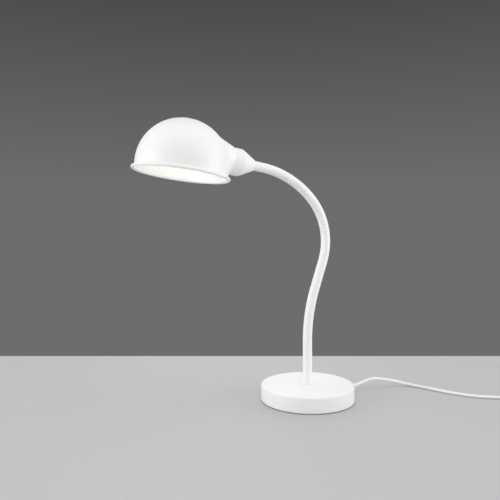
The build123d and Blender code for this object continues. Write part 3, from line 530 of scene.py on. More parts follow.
@dataclass
class Studio:
    """Camera, floor and soft lights, matched to the photograph's viewing angle."""

    camera_place: Place = (-492.7, -775.8, 284.5)
    camera_heading: Point = (0.4478, 0.8942)
    lens: float = 40.6
    shift_down: float = 0.0526
    nearest_view: float = 10.0
    floor_reach: float = 1500.0
    floor_behind: float = 298.0
    floor_colour: Colour = (0.48, 0.48, 0.477)
    floor_roughness: float = 0.7
    background: Colour = (0.15, 0.152, 0.152)
    background_dark: Colour = (0.066, 0.067, 0.067)
    background_span: Point = (0.06, 0.38)
    ambient: float = 0.94
    lights: tuple[SoftLight, ...] = (
        SoftLight("left_light", (-2160.0, 320.0, 270.0), 1600.0, 23.5),
        SoftLight("right_light", (1760.0, -1200.0, 224.0), 1600.0, 27.0),
        SoftLight("back_light", (500.0, 1300.0, 500.0), 1000.0, 3.0),
        SoftLight("top_light", (-150.0, -200.0, 1100.0), 600.0, 0.9),
    )
    aim: Place = (-60.0, 0.0, 200.0)

    def build(self) -> None:
        """Set the camera, the floor, the lights and the view settings."""
        self.set_camera()
        self.lay_floor()
        for light in self.lights:
            self.hang_light(light)
        self.set_world()
        bpy.context.scene.view_settings.view_transform = "Standard"

    def set_camera(self) -> None:
        """Place a level camera whose lens is shifted down to the photograph's horizon."""
        data = bpy.data.cameras.new("camera")
        data.lens = self.lens
        data.shift_y = -self.shift_down
        data.clip_start = self.nearest_view * MM
        camera = new_piece("camera", data)
        camera.location = Vector(self.camera_place) * MM
        camera.rotation_euler = Vector((*self.camera_heading, 0)).to_track_quat("-Z", "Y").to_euler()
        bpy.context.scene.camera = camera

    def lay_floor(self) -> None:
        """Lay a plain pale table top under the lamp, which ends behind it as in the photograph."""
        ahead = Vector((*self.camera_heading, 0)) * MM
        aside = Vector((ahead.y, -ahead.x, 0))
        far, near, side = self.floor_behind, -self.floor_reach, self.floor_reach
        places = ((near, -side), (near, side), (far, side), (far, -side))
        corners = [ahead * depth + aside * width for depth, width in places]
        mesh = bpy.data.meshes.new("floor")
        mesh.from_pydata(corners, [], [(0, 1, 2, 3)])
        material = bpy.data.materials.new("floor")
        material.use_nodes = True
        surface = material.node_tree.nodes["Principled BSDF"]
        surface.inputs["Base Color"].default_value = (*self.floor_colour, 1.0)
        surface.inputs["Roughness"].default_value = self.floor_roughness
        mesh.materials.append(material)
        new_piece("floor", mesh)

    def hang_light(self, light: SoftLight) -> None:
        """Hang one light so that it faces the lamp.

        Args:
            light: Light to hang.
        """
        data = bpy.data.lights.new(light.name, "AREA")
        data.size = light.size * MM
        data.energy = light.power
        hung = new_piece(light.name, data)
        hung.location = Vector(light.place) * MM
        hung.rotation_euler = (Vector(self.aim) * MM - hung.location).to_track_quat("-Z", "Y").to_euler()

    def set_world(self) -> None:
        """Light the scene evenly from all round, with a plain backdrop for the camera and reflections."""
        world = bpy.data.worlds.new("studio")
        bpy.context.scene.world = world
        world.use_nodes = True
        world.node_tree.nodes.clear()
        desk = NodeDesk(world.node_tree)
        path = desk.add("ShaderNodeLightPath").outputs
        bounced = {0: path["Is Glossy Ray"], 1: path["Is Transmission Ray"]}
        mirrored = desk.add("ShaderNodeMath", bounced, operation="MAXIMUM").outputs["Value"]
        seen = {0: path["Is Camera Ray"], 1: mirrored}
        shown = desk.add("ShaderNodeMath", seen, operation="MAXIMUM").outputs["Value"]
        even = desk.add("ShaderNodeBackground", {"Color": (1.0, 1.0, 1.0, 1.0), "Strength": self.ambient})
        way = desk.add("ShaderNodeTexCoord").outputs["Generated"]
        height = desk.add("ShaderNodeSeparateXYZ", {"Vector": way}).outputs["Z"]
        low, high = self.background_span
        rise = desk.add("ShaderNodeMapRange", {"Value": height, "From Min": low, "From Max": high})
        tone = desk.mix(rise.outputs["Result"], self.background, self.background_dark)
        plain = desk.add("ShaderNodeBackground", {"Color": tone, "Strength": 1.0})
        sides = {1: even.outputs["Background"], 2: plain.outputs["Background"]}
        mix = desk.add("ShaderNodeMixShader", {"Fac": shown, **sides})
        desk.add("ShaderNodeOutputWorld", {"Surface": mix.outputs["Shader"]})


@dataclass
class Fittings:
    """Moulded and pressed fittings that show: merged copies of CAD nodes, smooth between their creases."""

    pieces: dict[str, bpy.types.Object]
    nodes: tuple[str, ...] = (
        "switch_base",
        "switch_cover",
        "switch_rocker",
        "coil_tie",
        "plug_body",
        "plug_pins",
        "pin_sleeves",
        "holder_body",
        "shade_ring",
    )
    merge: float = 0.002
    crease: float = 32.0
    rocker_crease: float = 6.0

    def build(self) -> None:
        """Make the smooth copy of each node."""
        for name in self.nodes:
            self.pieces[name] = self.smooth_copy(name)

    def smooth_copy(self, name: str) -> bpy.types.Object:
        """Copy a CAD node, merge its loose triangles, and let the copy stand for it.

        Args:
            name: Name of the CAD node.

        Returns:
            The copy, riding on the node's body.
        """
        body = bmesh.new()
        body.from_mesh(frame["nodes"][name].data)
        bmesh.ops.remove_doubles(body, verts=body.verts, dist=self.merge * MM)
        bmesh.ops.dissolve_degenerate(body, edges=body.edges, dist=self.merge * MM)
        mesh = bpy.data.meshes.new(f"{name}_shape")
        body.to_mesh(mesh)
        body.free()
        smooth_by_angle(mesh, self.rocker_crease if name == "switch_rocker" else self.crease)
        piece = dress(new_piece(f"{name}_shape", mesh), NODE_SLOTS[name], name)
        piece.modifiers.new("even_flats", "WEIGHTED_NORMAL").keep_sharp = True
        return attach(piece, NODE_BODIES[name])


@dataclass(frozen=True)
class ScrewKind:
    """One kind of pan-head screw: its CAD node, diameters of shank and head, and their lengths."""

    node: str
    shank: float
    length: float
    head: float
    head_height: float


@dataclass
class Screws:
    """Cross-head screws, set by one node tree wherever a CAD node has a screw."""

    pieces: dict[str, bpy.types.Object]
    kinds: tuple[ScrewKind, ...] = (
        ScrewKind("base_screws", shank=4.0, length=9.0, head=7.6, head_height=1.2),
        ScrewKind("clamp_screws", shank=3.0, length=11.0, head=5.0, head_height=1.4),
        ScrewKind("switch_screws", shank=2.2, length=11.0, head=4.8, head_height=1.6),
    )
    sides: int = 28
    shoulder_height: float = 0.55
    shoulder_width: float = 0.97
    crown_width: float = 0.82
    recess_length: float = 0.6
    recess_width: float = 0.15
    recess_depth: float = 0.65
    seat_depth: float = 0.01

    def build(self) -> None:
        """Set the screws of each kind."""
        tree = self.screw_tree()
        for kind in self.kinds:
            screw = self.shape(kind)
            inputs = {"Screw": screw, "Material": MATERIALS[NODE_SLOTS[kind.node]]}
            screws = run_tree(f"{kind.node}_set", self.mark_places(kind), tree, inputs)
            bpy.data.objects.remove(screw)
            dress(screws, NODE_SLOTS[kind.node], kind.node)
            self.pieces[kind.node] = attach(screws, NODE_BODIES[kind.node])

    def mark_places(self, kind: ScrewKind) -> bpy.types.Object:
        """Mark where the CAD node's screws sit, from the lowest ring of each head.

        Args:
            kind: Kind of screw to look for.

        Returns:
            An object with one point under the middle of each head.
        """
        points = [vertex.co.copy() for vertex in frame["nodes"][kind.node].data.vertices]
        lowest = min(point.z for point in points)
        rims: list[list[Vector]] = []
        for point in points:
            if point.z > lowest + self.seat_depth * MM:
                continue
            rim = next((rim for rim in rims if (rim[0] - point).length < kind.head * MM), None)
            if rim is None:
                rims.append([point])
            else:
                rim.append(point)
        seat = Vector((0, 0, kind.head_height * MM))
        mesh = bpy.data.meshes.new("screw_places")
        middles = [(np.min(rim, axis=0) + np.max(rim, axis=0)) / 2 for rim in rims]
        mesh.from_pydata([Vector(middle) + seat for middle in middles], [], [])
        return new_piece("screw_places", mesh)

    def screw_tree(self) -> bpy.types.NodeTree:
        """Build the node tree that sets a screw at each point.

        Returns:
            The tree, with the places, the screw and its material as inputs.
        """
        sockets = {
            "Places": "NodeSocketGeometry",
            "Screw": "NodeSocketObject",
            "Material": "NodeSocketMaterial",
        }
        tree = new_group("Screws at places", "GeometryNodeTree", sockets, {"Screws": "NodeSocketGeometry"})
        desk = NodeDesk(tree)
        given = desk.add("NodeGroupInput").outputs
        screw = desk.add("GeometryNodeObjectInfo", {"Object": given["Screw"]}).outputs["Geometry"]
        screws = desk.add("GeometryNodeInstanceOnPoints", {"Points": given["Places"], "Instance": screw})
        desk.put_out("Screws", screws.outputs["Instances"], given["Material"])
        return tree

    def cross(self, kind: ScrewKind) -> list[Point]:
        """List the corners of the recess, in order round the screw's axis.

        Args:
            kind: Kind of screw that it is in.

        Returns:
            The corners of its four arms.
        """
        reach = self.recess_length * kind.head / 2
        half = self.recess_width * kind.head / 2
        corners: list[Point] = []
        arm = [(reach, -half), (reach, half), (half, half)]
        for _ in range(4):
            corners += arm
            arm = [(-y, x) for x, y in arm]
        return corners

    def shape(self, kind: ScrewKind) -> bpy.types.Object:
        """Shape one screw, with its seat at the origin and its head below.

        Args:
            kind: Kind of screw to shape.

        Returns:
            A closed piece with a cross recess in its head.
        """
        head = kind.head / 2
        circle = arc((0.0, 0.0), 1.0, 0.0, 360.0, self.sides)[:-1]
        levels = (
            (kind.length, kind.shank / 2),
            (0.0, kind.shank / 2),
            (0.0, head),
            (-kind.head_height * self.shoulder_height, head * self.shoulder_width),
            (-kind.head_height, head * self.crown_width),
        )
        body = bmesh.new()
        turned = [[body.verts.new((x * r * MM, y * r * MM, z * MM)) for x, y in circle] for z, r in levels]
        depths = (1.0, 1.0 - self.recess_depth)
        sunk = [
            [body.verts.new((x * MM, y * MM, -kind.head_height * depth * MM)) for x, y in self.cross(kind)]
            for depth in depths
        ]
        body.faces.new(turned[0])
        body.faces.new(sunk[-1])
        for rings in (turned, sunk):
            for low, high in zip(rings, rings[1:]):
                for index in range(len(low)):
                    body.faces.new((low[index - 1], low[index], high[index], high[index - 1]))
        rim = [edge for edge in body.edges if edge.is_boundary]
        bmesh.ops.triangle_fill(body, edges=rim, use_beauty=True)
        bmesh.ops.recalc_face_normals(body, faces=body.faces)
        mesh = bpy.data.meshes.new("screw")
        body.to_mesh(mesh)
        body.free()
        return new_piece("screw", mesh)


@dataclass
class Cord:
    """Mains cord: the run from the base to the switch, and the tied coil from there to the plug."""

    pieces: dict[str, bpy.types.Object]
    diameter: float = 5.0
    run_points: tuple[Place, ...] = (
        (95.0, 0.0, 10.4),
        (106.0, -0.2, 12.7),
        (128.0, -2.0, 18.8),
        (152.0, -4.0, 15.2),
        (177.0, -6.5, 8.8),
        (199.0, -16.5, 2.5),
        (210.0, -38.0, 2.5),
        (219.0, -63.0, 2.5),
        (231.0, -90.0, 2.5),
        (247.0, -114.0, 2.5),
        (268.0, -132.5, 2.5),
        (286.0, -142.0, 2.5),
        (299.0, -148.5, 6.0),
        (311.0, -154.5, 6.0),
    )
    run_length: float = 294.0
    switch_length: float = 60.0
    coil_lead_in: float = 20.0
    coil_inner_radius: float = 20.0
    coil_pitch: float = 6.2
    coil_layer_turns: float = 3.5
    coil_climb_turns: float = 0.5
    coil_layer_step: float = 6.2
    coil_low: float = 3.6
    coil_tail: float = 22.0
    plug_height: float = 6.85
    coil_length: float = 1451.0
    points_per_turn: int = 24
    round_steps: int = 5
    spline_steps: int = 8
    along: Vector = field(init=False)
    right: Vector = field(init=False)
    switch_exit: Vector = field(init=False)

    def __post_init__(self) -> None:
        """Work out the switch's direction and exit from the end of the run."""
        end, before = Vector(self.run_points[-1]), Vector(self.run_points[-2])
        self.along = (end - before).normalized()
        self.right = Vector((self.along.y, -self.along.x, 0))
        self.switch_exit = end + self.along * self.switch_length

    def coil_point(self, turn: float) -> Vector:
        """Find the coil's centre line, which winds inwards, climbs a layer and winds outwards.

        Args:
            turn: Number of turns from the coil's start.

        Returns:
            The point there.
        """
        outer = self.coil_inner_radius + self.coil_pitch * self.coil_layer_turns
        middle = self.switch_exit + self.along * self.coil_lead_in + self.right * outer
        climb = min(max((turn - self.coil_layer_turns) / self.coil_climb_turns, 0.0), 1.0)
        inwards = min(turn, self.coil_layer_turns)
        outwards = max(turn - self.coil_layer_turns - self.coil_climb_turns, 0.0)
        radius = outer - self.coil_pitch * (inwards - outwards)
        angle = math.tau * turn
        spoke = self.along * math.sin(angle) - self.right * math.cos(angle)
        place = middle + spoke * radius
        return Vector((place.x, place.y, self.coil_low + self.coil_layer_step * climb))

    def coil_points(self) -> list[Vector]:
        """Lay the cord's points from the switch through the coil to the plug.

        Returns:
            The control points.
        """
        turns = 2 * self.coil_layer_turns + self.coil_climb_turns
        steps = round(turns * self.points_per_turn)
        points = [self.switch_exit, self.switch_exit + self.along * self.diameter]
        points += [self.coil_point(turns * step / steps) for step in range(steps + 1)]
        tail = points[-1] - self.along * self.coil_tail
        tail.z = self.plug_height
        return points + [tail + self.along * self.diameter, tail]

    def lay(self, name: str, points: Sequence[Sequence[float]], node: str) -> bpy.types.Object:
        """Lay one cord along control points.

        Args:
            name: Name of the cord.
            points: Control points in millimetres.
            node: CAD node that it stands for.

        Returns:
            The cord's curve.
        """
        cord = new_curve(name, "NURBS", points)
        cord.data.bevel_depth = self.diameter / 2 * MM
        cord.data.bevel_resolution = self.round_steps
        cord.data.resolution_u = self.spline_steps
        cord.data.use_fill_caps = True
        spline = cord.data.splines[0]
        spline.order_u = 3
        spline.use_endpoint_u = True
        dress(cord, Slot.CORD, node)
        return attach(cord, Body.BASE.value)

    def build(self) -> None:
        run = self.lay("mains_cord_run", self.run_points, "cord_run")
        coil = self.lay("mains_cord_coil", self.coil_points(), "cord_coil")


@dataclass
class Base:
    """Round base: the pressed cover and the cord's boot."""

    diameter: float = 150.0
    height: float = 25.0
    sheet: float = 1.2
    edge_radius: float = 2.5
    lift: float = 1.2
    hem_radius: float = 0.3
    neck_hole: float = 5.2
    boot_height: float = 8.5
    boot_length: float = 20.0
    boot_root: float = 4.4
    boot_tip: float = 3.4
    boot_bore: float = 2.55
    boot_flange: float = 5.5
    boot_flange_start: float = -4.0
    boot_flange_end: float = -2.0
    boot_flange_edge: float = 0.4
    boot_wall: float = 1.0
    boot_start: float = 0.1
    boot_root_edge: float = 0.5
    boot_tip_edge: float = 0.6
    boot_rise: float = 1.9
    boot_grooves: int = 5
    boot_groove_first: float = 3.5
    boot_groove_pitch: float = 3.0
    boot_groove_width: float = 1.2
    boot_groove_depth: float = 0.5
    boot_groove_edge: float = 0.2
    boot_segments: int = 48
    segments: int = 192

    def build(self) -> None:
        """Make the cover and the boot."""
        self.build_cover()
        self.build_boot()

    def build_cover(self) -> None:
        """Turn the pressed cover, with its rounded top edge."""
        radius = self.diameter / 2
        inner = radius - self.sheet
        roof = self.height - self.sheet
        outline = rounded(
            (
                (self.lift, radius, self.hem_radius),
                (self.height, radius, self.edge_radius),
                (self.height, self.neck_hole, 0.0),
                (roof, self.neck_hole, 0.0),
                (roof, inner, self.edge_radius - self.sheet),
                (self.lift, inner, self.hem_radius),
            )
        )
        axle = Axle(Vector((0, 0, 0)), Vector((0, 0, 1)), Vector((1, 0, 0)))
        cover = axle.turn("cover_shell", outline, self.segments)
        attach(dress(cover, Slot.PAINT, "base_cover"), Body.BASE.value)

    def build_boot(self) -> None:
        """Turn the tapered boot round the cord, with grooves that let it bend."""
        through = self.boot_bore + self.boot_wall
        corners = [
            (self.boot_flange_start, self.boot_bore, 0.0),
            (self.boot_flange_start, self.boot_flange, self.boot_flange_edge),
            (self.boot_flange_end, self.boot_flange, self.boot_flange_edge),
            (self.boot_flange_end, through, 0.0),
            (self.boot_start, through, 0.0),
            (self.boot_start, self.boot_root, self.boot_root_edge),
        ]
        sunk = self.boot_groove_depth
        for groove in range(self.boot_grooves):
            near = self.boot_groove_first + self.boot_groove_pitch * groove
            far = near + self.boot_groove_width
            for distance, depth in ((near, 0.0), (near, sunk), (far, sunk), (far, 0.0)):
                taper = self.boot_root + (self.boot_tip - self.boot_root) * distance / self.boot_length
                corners.append((distance, taper - depth, self.boot_groove_edge))
        corners.append((self.boot_length, self.boot_tip, self.boot_tip_edge))
        corners.append((self.boot_length, self.boot_bore, 0.0))
        origin = Vector((self.diameter / 2, 0, self.boot_height))
        axle = Axle(origin, Vector((1, 0, 0)), Vector((0, 0, 1)))
        boot = axle.turn("cord_boot", rounded(corners), self.boot_segments)
        self.bend_boot(boot.data)
        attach(dress(boot, Slot.CORD, "strain_relief"), Body.BASE.value)

    def bend_boot(self, mesh: bpy.types.Mesh) -> None:
        """Bend the boot's outer stretch up with the cord that it holds.

        Args:
            mesh: Mesh of the straight boot.
        """
        wall = self.diameter / 2 * MM
        for vertex in mesh.vertices:
            share = max(vertex.co.x - wall, 0.0) / (self.boot_length * MM)
            vertex.co.z += self.boot_rise * MM * share**2


@dataclass
class Neck:
    """Flexible neck: a smooth sleeve over a wound core and a lead, made in one piece for each joint."""

    foot_height: float = 25.0
    rise: float = 70.5
    lean_radius: float = 253.0
    lean_turn: float = 19.3
    lean_run: float = 46.0
    crook_radius: float = 100.0
    crook_turn: float = 61.4
    reach_radius: float = 154.0
    reach_turn: float = 39.8
    end_run: float = 16.0
    sections: int = 9
    sleeve_radius: float = 7.5
    sleeve_sides: int = 64
    core_radius: float = 6.0
    core_sides: int = 20
    core_wire: float = 2.0
    wire_sides: int = 6
    lead_radius: float = 2.5
    lead_sides: int = 16
    lead_below: float = 14.9
    lead_above: float = 15.4
    rigid_end: float = 2.5
    step: float = 1.5

    def stretches(self) -> list[Point]:
        """List the centre line's straight and bent stretches.

        Returns:
            The length of each, and its bend radius, positive towards the head and zero where it is straight.
        """
        return [
            (self.rise, 0.0),
            (math.radians(self.lean_turn) * self.lean_radius, -self.lean_radius),
            (self.lean_run, 0.0),
            (math.radians(self.crook_turn) * self.crook_radius, self.crook_radius),
            (math.radians(self.reach_turn) * self.reach_radius, self.reach_radius),
            (self.end_run, 0.0),
        ]

    def length(self) -> float:
        """Return the length of the neck's centre line."""
        return sum(length for length, _ in self.stretches())

    def at(self, distance: float) -> tuple[Vector, Vector]:
        """Find the neck's centre line at a distance from the base.

        Args:
            distance: Distance along the centre line.

        Returns:
            The point and the direction there.
        """
        x, z, heading = 0.0, self.foot_height, math.radians(90)
        z += min(distance, 0.0)
        left = max(distance, 0.0)
        for length, radius in self.stretches():
            step = min(left, length)
            if radius:
                turned = heading + step / radius
                x += radius * (math.sin(turned) - math.sin(heading))
                z -= radius * (math.cos(turned) - math.cos(heading))
                heading = turned
            else:
                x += step * math.cos(heading)
                z += step * math.sin(heading)
            left -= step
        x += left * math.cos(heading)
        z += left * math.sin(heading)
        return Vector((x, 0, z)), Vector((math.cos(heading), 0, math.sin(heading)))

    def path(self, start: float, end: float) -> bpy.types.Object:
        """Draw a stretch of the centre line as a curve.

        Args:
            start: Distance of its first point from the base.
            end: Distance of its last point.

        Returns:
            The curve object.
        """
        runs = max(1, math.ceil((end - start) / self.step))
        places = [self.at(start + (end - start) * index / runs)[0] for index in range(runs + 1)]
        return new_curve("neck_path", "POLY", places)

    def tube_tree(self) -> bpy.types.NodeTree:
        """Build the node tree that sweeps a round section along a path.

        Returns:
            The tree, with the path, the section's sizes and the material as inputs.
        """
        sockets = {
            "Path": "NodeSocketGeometry",
            "Radius": "NodeSocketFloat",
            "Sides": "NodeSocketInt",
            "Material": "NodeSocketMaterial",
        }
        tree = new_group("Tube along a path", "GeometryNodeTree", sockets, {"Tube": "NodeSocketGeometry"})
        desk = NodeDesk(tree)
        given = desk.add("NodeGroupInput").outputs
        section = {"Resolution": given["Sides"], "Radius": given["Radius"]}
        ring = desk.add("GeometryNodeCurvePrimitiveCircle", section).outputs["Curve"]
        swept = {"Curve": given["Path"], "Profile Curve": ring, "Fill Caps": True}
        tube = desk.add("GeometryNodeCurveToMesh", swept)
        desk.put_out("Tube", tube.outputs["Mesh"], given["Material"])
        return tree

    def winding_tree(self) -> bpy.types.NodeTree:
        """Build the node tree that sets touching rings of round wire along a path.

        Returns:
            The tree, with the path, the sizes of ring and wire and the material as inputs.
        """
        sockets = {
            "Path": "NodeSocketGeometry",
            "Ring Radius": "NodeSocketFloat",
            "Wire": "NodeSocketFloat",
            "Material": "NodeSocketMaterial",
        }
        outputs = {"Winding": "NodeSocketGeometry"}
        tree = new_group("Wound wire along a path", "GeometryNodeTree", sockets, outputs)
        desk = NodeDesk(tree)
        given = desk.add("NodeGroupInput").outputs
        halved = {0: given["Wire"], 1: 0.5}
        half = desk.add("ShaderNodeMath", halved, operation="MULTIPLY").outputs["Value"]
        lessened = {0: given["Ring Radius"], 1: half}
        middle = desk.add("ShaderNodeMath", lessened, operation="SUBTRACT").outputs["Value"]
        loop, wire = (
            desk.add("GeometryNodeCurvePrimitiveCircle", {"Resolution": sides, "Radius": radius})
            for sides, radius in ((self.core_sides, middle), (self.wire_sides, half))
        )
        swept = {"Curve": loop.outputs["Curve"], "Profile Curve": wire.outputs["Curve"]}
        ring = desk.add("GeometryNodeCurveToMesh", swept).outputs["Mesh"]
        spaced = {"Curve": given["Path"], "Length": given["Wire"]}
        places = desk.add("GeometryNodeCurveToPoints", spaced, mode="LENGTH").outputs
        placed = {"Points": places["Points"], "Instance": ring, "Rotation": places["Rotation"]}
        rings = desk.add("GeometryNodeInstanceOnPoints", placed)
        desk.put_out("Winding", rings.outputs["Instances"], given["Material"])
        return tree

    def build(self) -> None:
        """Make the sleeve, core and lead in pieces, one for each joint."""
        tube, winding = self.tube_tree(), self.winding_tree()
        sleeve_inputs = {
            "Radius": self.sleeve_radius * MM,
            "Sides": self.sleeve_sides,
            "Material": MATERIALS[Slot.SLEEVE],
        }
        core_inputs = {
            "Ring Radius": self.core_radius * MM,
            "Wire": self.core_wire * MM,
            "Material": MATERIALS[Slot.STEEL],
        }
        lead_inputs = {
            "Radius": self.lead_radius * MM,
            "Sides": self.lead_sides,
            "Material": MATERIALS[Slot.CORD],
        }
        section = self.length() / self.sections
        joints = self.sections - 1
        for joint in range(1, joints + 1):
            first, last = joint == 1, joint == joints
            low, high = section * (joint - 0.5), section * (joint + 0.5)
            start = 0.0 if first else low
            end = self.length() if last else high
            lead_start = -self.lead_below if first else low
            lead_end = self.length() + self.lead_above if last else high
            sleeve = run_tree(f"sleeve_{joint}", self.path(start, end), tube, sleeve_inputs)
            core = run_tree(f"core_{joint}", self.path(start, end), winding, core_inputs)
            lead = run_tree(f"lead_{joint}", self.path(lead_start, lead_end), tube, lead_inputs)
            standing = [joint, joint + 1] if last else [joint]
            dress(sleeve, Slot.SLEEVE, *(f"neck_sleeve_{count}" for count in standing))
            dress(core, Slot.STEEL, *(f"neck_core_{count}" for count in standing))
            dress(lead, Slot.CORD, *(["neck_lead"] if first else []))
            bend_start, _ = self.at(low + self.rigid_end)
            bend_end, _ = self.at(high - self.rigid_end)
            for piece in (sleeve, core, lead):
                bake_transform(piece)


@dataclass
class Head:
    """Lamp head: dome shade with a drawn-out collar, bell cap and lit lamp."""

    neck: Neck
    holder_height: float = 35.8
    dome_radius: float = 68.2
    skirt_height: float = 15.0
    sheet: float = 1.0
    bead_radius: float = 2.3
    bead_middle: float = 70.1
    bead_end_angle: float = -115.0
    bead_steps: int = 18
    flare_radius: float = 2.5
    flare_steps: int = 6
    hem: tuple[Point, ...] = ((0.7, 0.9), (0.2, 1.7), (0.0, 2.8))
    collar_reach: float = 72.9
    collar_radius: float = 22.3
    collar_slope: float = 0.364
    collar_root: float = 28.0
    collar_wall: float = 1.2
    collar_edge: float = 0.5
    collar_edge_back: float = 0.3
    collar_edge_in: float = 0.1
    collar_blend: float = 4.0
    holder_hole: float = 17.2
    cap_radius: float = 21.0
    cap_cylinder: float = 16.9
    cap_cone: float = 23.5
    cap_end_radius: float = 8.8
    cap_shoulder: float = 6.0
    cap_sheet: float = 1.0
    cap_mouth_edge: float = 0.4
    cap_end_edge: float = 0.8
    cap_hole: float = 5.2
    cap_segments: int = 128
    globe_radius: float = 22.5
    globe_middle: float = 25.7
    globe_mouth: float = 19.6
    globe_steps: int = 40
    housing_start: float = 36.7
    housing_gap: float = 0.05
    housing_edge: float = 0.3
    housing_end: float = 55.7
    housing_root: float = 13.6
    lamp_segments: int = 96
    rings: int = 96
    columns: int = 176
    search_span: Point = (0.5, 2.0)
    search_steps: int = 40
    holder_axle: Axle = field(init=False)
    dome_axle: Axle = field(init=False)

    def __post_init__(self) -> None:
        """Work out the holder's and the dome's axes from the neck's end."""
        outlet, direction = self.neck.at(self.neck.length())
        across = -direction
        up = Vector((-across.z, 0, across.x))
        middle = outlet - across * (self.collar_reach + self.cap_cylinder + self.cap_cone)
        self.holder_axle = Axle(middle, across, up)
        self.dome_axle = Axle(middle - up * self.holder_height, up, across)

    def build(self) -> None:
        """Make the shade, the cap and the lamp."""
        self.build_shade()
        self.build_cap()
        self.build_lamp()

    def shell_distance(self, points: np.ndarray, inset: float) -> np.ndarray:
        """Measure how far points lie outside the dome and collar, blended softly where they meet.

        Args:
            points: Points in the dome's frame: across, sideways and up.
            inset: Depth under the outer surface.

        Returns:
            The distances, negative inside.
        """
        across, side, up = points[..., 0], points[..., 1], points[..., 2]
        above = np.maximum(up - self.skirt_height, 0.0)
        dome = np.sqrt(across**2 + side**2 + above**2) - (self.dome_radius - inset)
        slant = math.sqrt(1 + self.collar_slope**2)
        round_axis = np.sqrt(side**2 + (up - self.holder_height) ** 2)
        allowed = self.collar_radius + self.collar_slope * (self.collar_reach - across)
        collar = np.maximum((round_axis - allowed) / slant + inset, self.collar_root - across)
        overlap = np.maximum(self.collar_blend - np.abs(dome - collar), 0.0) / self.collar_blend
        return np.minimum(dome, collar) - overlap**2 * self.collar_blend / 4

    def shell_rings(self, inset: float, edge: float, floor: float) -> np.ndarray:
        """Lay rings of points over the dome, from the collar's edge to the skirt.

        Args:
            inset: Depth under the outer surface.
            edge: Distance of the collar's edge from the dome's axis.
            floor: Height of the lowest ring.

        Returns:
            Points in the dome's frame, by ring, column and axis.
        """
        middle = np.array((0.0, 0.0, self.skirt_height))
        slant = math.sqrt(1 + self.collar_slope**2)
        radius = self.collar_radius + self.collar_slope * (self.collar_reach - edge) - inset * slant
        ends = (self.collar_ring(edge, radius), self.rim_ring(self.dome_radius - inset, floor))
        first_way, last_way = (
            (ring - middle) / np.linalg.norm(ring - middle, axis=1, keepdims=True) for ring in ends
        )
        turn = np.arccos(np.clip(np.sum(first_way * last_way, axis=1, keepdims=True), -1, 1))
        rows = []
        for ring in range(self.rings + 1):
            share = ring / self.rings
            way = (np.sin((1 - share) * turn) * first_way + np.sin(share * turn) * last_way) / np.sin(turn)
            near, far = (np.full(self.columns, part * self.dome_radius) for part in self.search_span)
            for _ in range(self.search_steps):
                reach = (near + far) / 2
                outside = self.shell_distance(middle + way * reach[:, None], inset) > 0
                far = np.where(outside, reach, far)
                near = np.where(outside, near, reach)
            rows.append(middle + way * near[:, None])
        return np.array(rows)

    def collar_ring(self, distance: float, radius: float) -> np.ndarray:
        """Lay one ring of points round the holder's axis.

        Args:
            distance: Distance of the ring from the dome's axis.
            radius: Radius of the ring.

        Returns:
            Points in the dome's frame, by column and axis.
        """
        angles = circle_angles(self.columns)
        heights = self.holder_height - radius * np.cos(angles)
        return np.stack((np.full_like(angles, distance), radius * np.sin(angles), heights), axis=1)

    def rim_ring(self, radius: float, height: float) -> np.ndarray:
        """Lay one ring of points round the dome's axis.

        Args:
            radius: Radius of the ring.
            height: Height of the ring over the rim.

        Returns:
            Points in the dome's frame, by column and axis.
        """
        angles = circle_angles(self.columns)
        heights = np.full_like(angles, height)
        return np.stack((radius * np.cos(angles), radius * np.sin(angles), heights), axis=1)

    def rim_outline(self) -> tuple[list[Point], float]:
        """Draw the rim's section from the skirt over the rolled bead to the inner wall.

        Returns:
            The section's points as radius and height, and the height where the skirt begins to flare.
        """
        flare_x = self.dome_radius + self.flare_radius
        sideways = flare_x - self.bead_middle
        upwards = math.sqrt((self.bead_radius + self.flare_radius) ** 2 - sideways**2)
        flare_y = self.bead_radius + upwards
        meeting = math.degrees(math.atan2(upwards, sideways))
        flare = arc((flare_x, flare_y), self.flare_radius, 180, 180 + meeting, self.flare_steps)
        middle = (self.bead_middle, self.bead_radius)
        bead = arc(middle, self.bead_radius, meeting, self.bead_end_angle, self.bead_steps)
        inner = self.dome_radius - self.sheet
        turn_in = [(inner + outwards, height) for outwards, height in self.hem]
        return flare[1:] + bead[1:] + turn_in, flare_y

    def build_shade(self) -> None:
        """Make the shade as one closed shell, from the collar's hole over the dome to the bead and back."""
        rim, flare_height = self.rim_outline()
        reach, edge = self.collar_reach, self.collar_edge
        inner_end = reach - self.collar_wall
        slant_radius = self.collar_radius + self.collar_slope * edge
        round_radius = (slant_radius + self.collar_radius) / 2 - self.collar_edge_in
        rows = [
            self.collar_ring(reach, self.holder_hole),
            self.collar_ring(reach, self.collar_radius - edge),
            self.collar_ring(reach - self.collar_edge_back * edge, round_radius),
            *self.shell_rings(0.0, reach - edge, flare_height),
            *(self.rim_ring(radius, height) for radius, height in rim),
            *self.shell_rings(self.sheet, inner_end, flare_height)[::-1],
            self.collar_ring(inner_end, self.holder_hole),
        ]
        axle = self.dome_axle
        turn = np.array((axle.across, Vector((0, 1, 0)), axle.along))
        grid = (np.array(rows) @ turn + np.array(axle.origin)) * MM
        shade = grid_piece("shade_shell", grid, wrap_rows=True)
        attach(dress(shade, Slot.PAINT, "shade"), Body.HEAD.value)

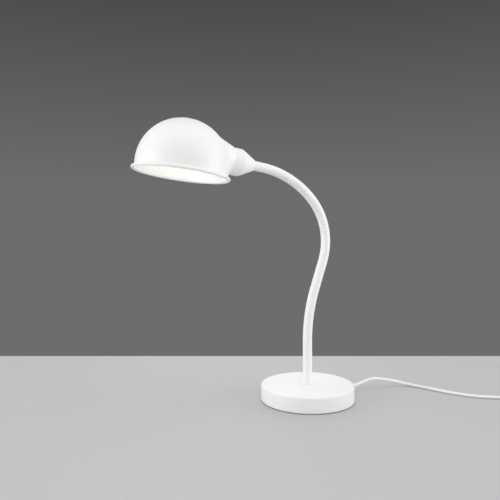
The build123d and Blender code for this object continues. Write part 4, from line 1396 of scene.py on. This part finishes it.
    def build_cap(self) -> None:
        """Turn the bell cap over the lampholder."""
        start = self.collar_reach
        shoulder = start + self.cap_cylinder
        end = shoulder + self.cap_cone
        inner = self.cap_radius - self.cap_sheet
        outline = rounded(
            (
                (start, inner, 0.0),
                (start, self.cap_radius, self.cap_mouth_edge),
                (shoulder, self.cap_radius, self.cap_shoulder),
                (end, self.cap_end_radius, self.cap_end_edge),
                (end, self.cap_hole, 0.0),
                (end - self.cap_sheet, self.cap_hole, 0.0),
                (end - self.cap_sheet, self.cap_end_radius - self.cap_sheet, 0.0),
                (shoulder - self.cap_sheet / 2, inner, self.cap_shoulder - self.cap_sheet),
            )
        )
        cap = self.holder_axle.turn("bell_cap", outline, self.cap_segments)
        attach(dress(cap, Slot.PAINT, "holder_cap"), Body.HEAD.value)

    def build_lamp(self) -> None:
        """Turn the lit globe and the housing of the lamp."""
        turn = self.holder_axle.turn
        mouth_angle = math.degrees(math.atan2(self.globe_mouth, self.housing_start - self.globe_middle))
        skin = arc((self.globe_middle, 0), self.globe_radius, 180, mouth_angle, self.globe_steps)
        skin.append((self.housing_start, 0.0))
        globe = turn("lit_globe", skin, self.lamp_segments, closed=False)
        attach(dress(globe, Slot.OPAL, "lamp_globe"), Body.HEAD.value)
        start = self.housing_start + self.housing_gap
        corners = (
            (start, 0.0, 0.0),
            (start, self.globe_mouth, self.housing_edge),
            (self.housing_end, self.housing_root, self.housing_edge),
            (self.housing_end, 0.0, 0.0),
        )
        outline = rounded(corners, closed=False)
        housing = turn("lamp_housing_shell", outline, self.lamp_segments, closed=False)
        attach(dress(housing, Slot.PLASTIC, "lamp_housing"), Body.HEAD.value)


class Workings:
    """CAD nodes that are shown as they are, each in its record slot's finish."""

    def build(self) -> None:
        """Give every shown CAD node its finish."""
        for name, node in frame["nodes"].items():
            if node.hide_render:
                continue
            node.data.materials.clear()
            node.data.materials.append(MATERIALS[NODE_SLOTS[name]])
            LOG.info("%s: CAD node in %s", name, NODE_SLOTS[name].value)


def main() -> None:
    """Build the studio and the lamp's sub-assemblies in order, and report each piece."""
    logging.basicConfig(level=logging.INFO, format="%(name)s: %(message)s")
    pieces: dict[str, bpy.types.Object] = {}
    neck = Neck()
    carried = (Fittings(pieces), Screws(pieces), Cord(pieces))
    for assembly in (Studio(), *carried, Base(), neck, Head(neck), Workings()):
        assembly.build()
        LOG.info("built %s", type(assembly).__name__)


if __name__ == "__main__":
    main()
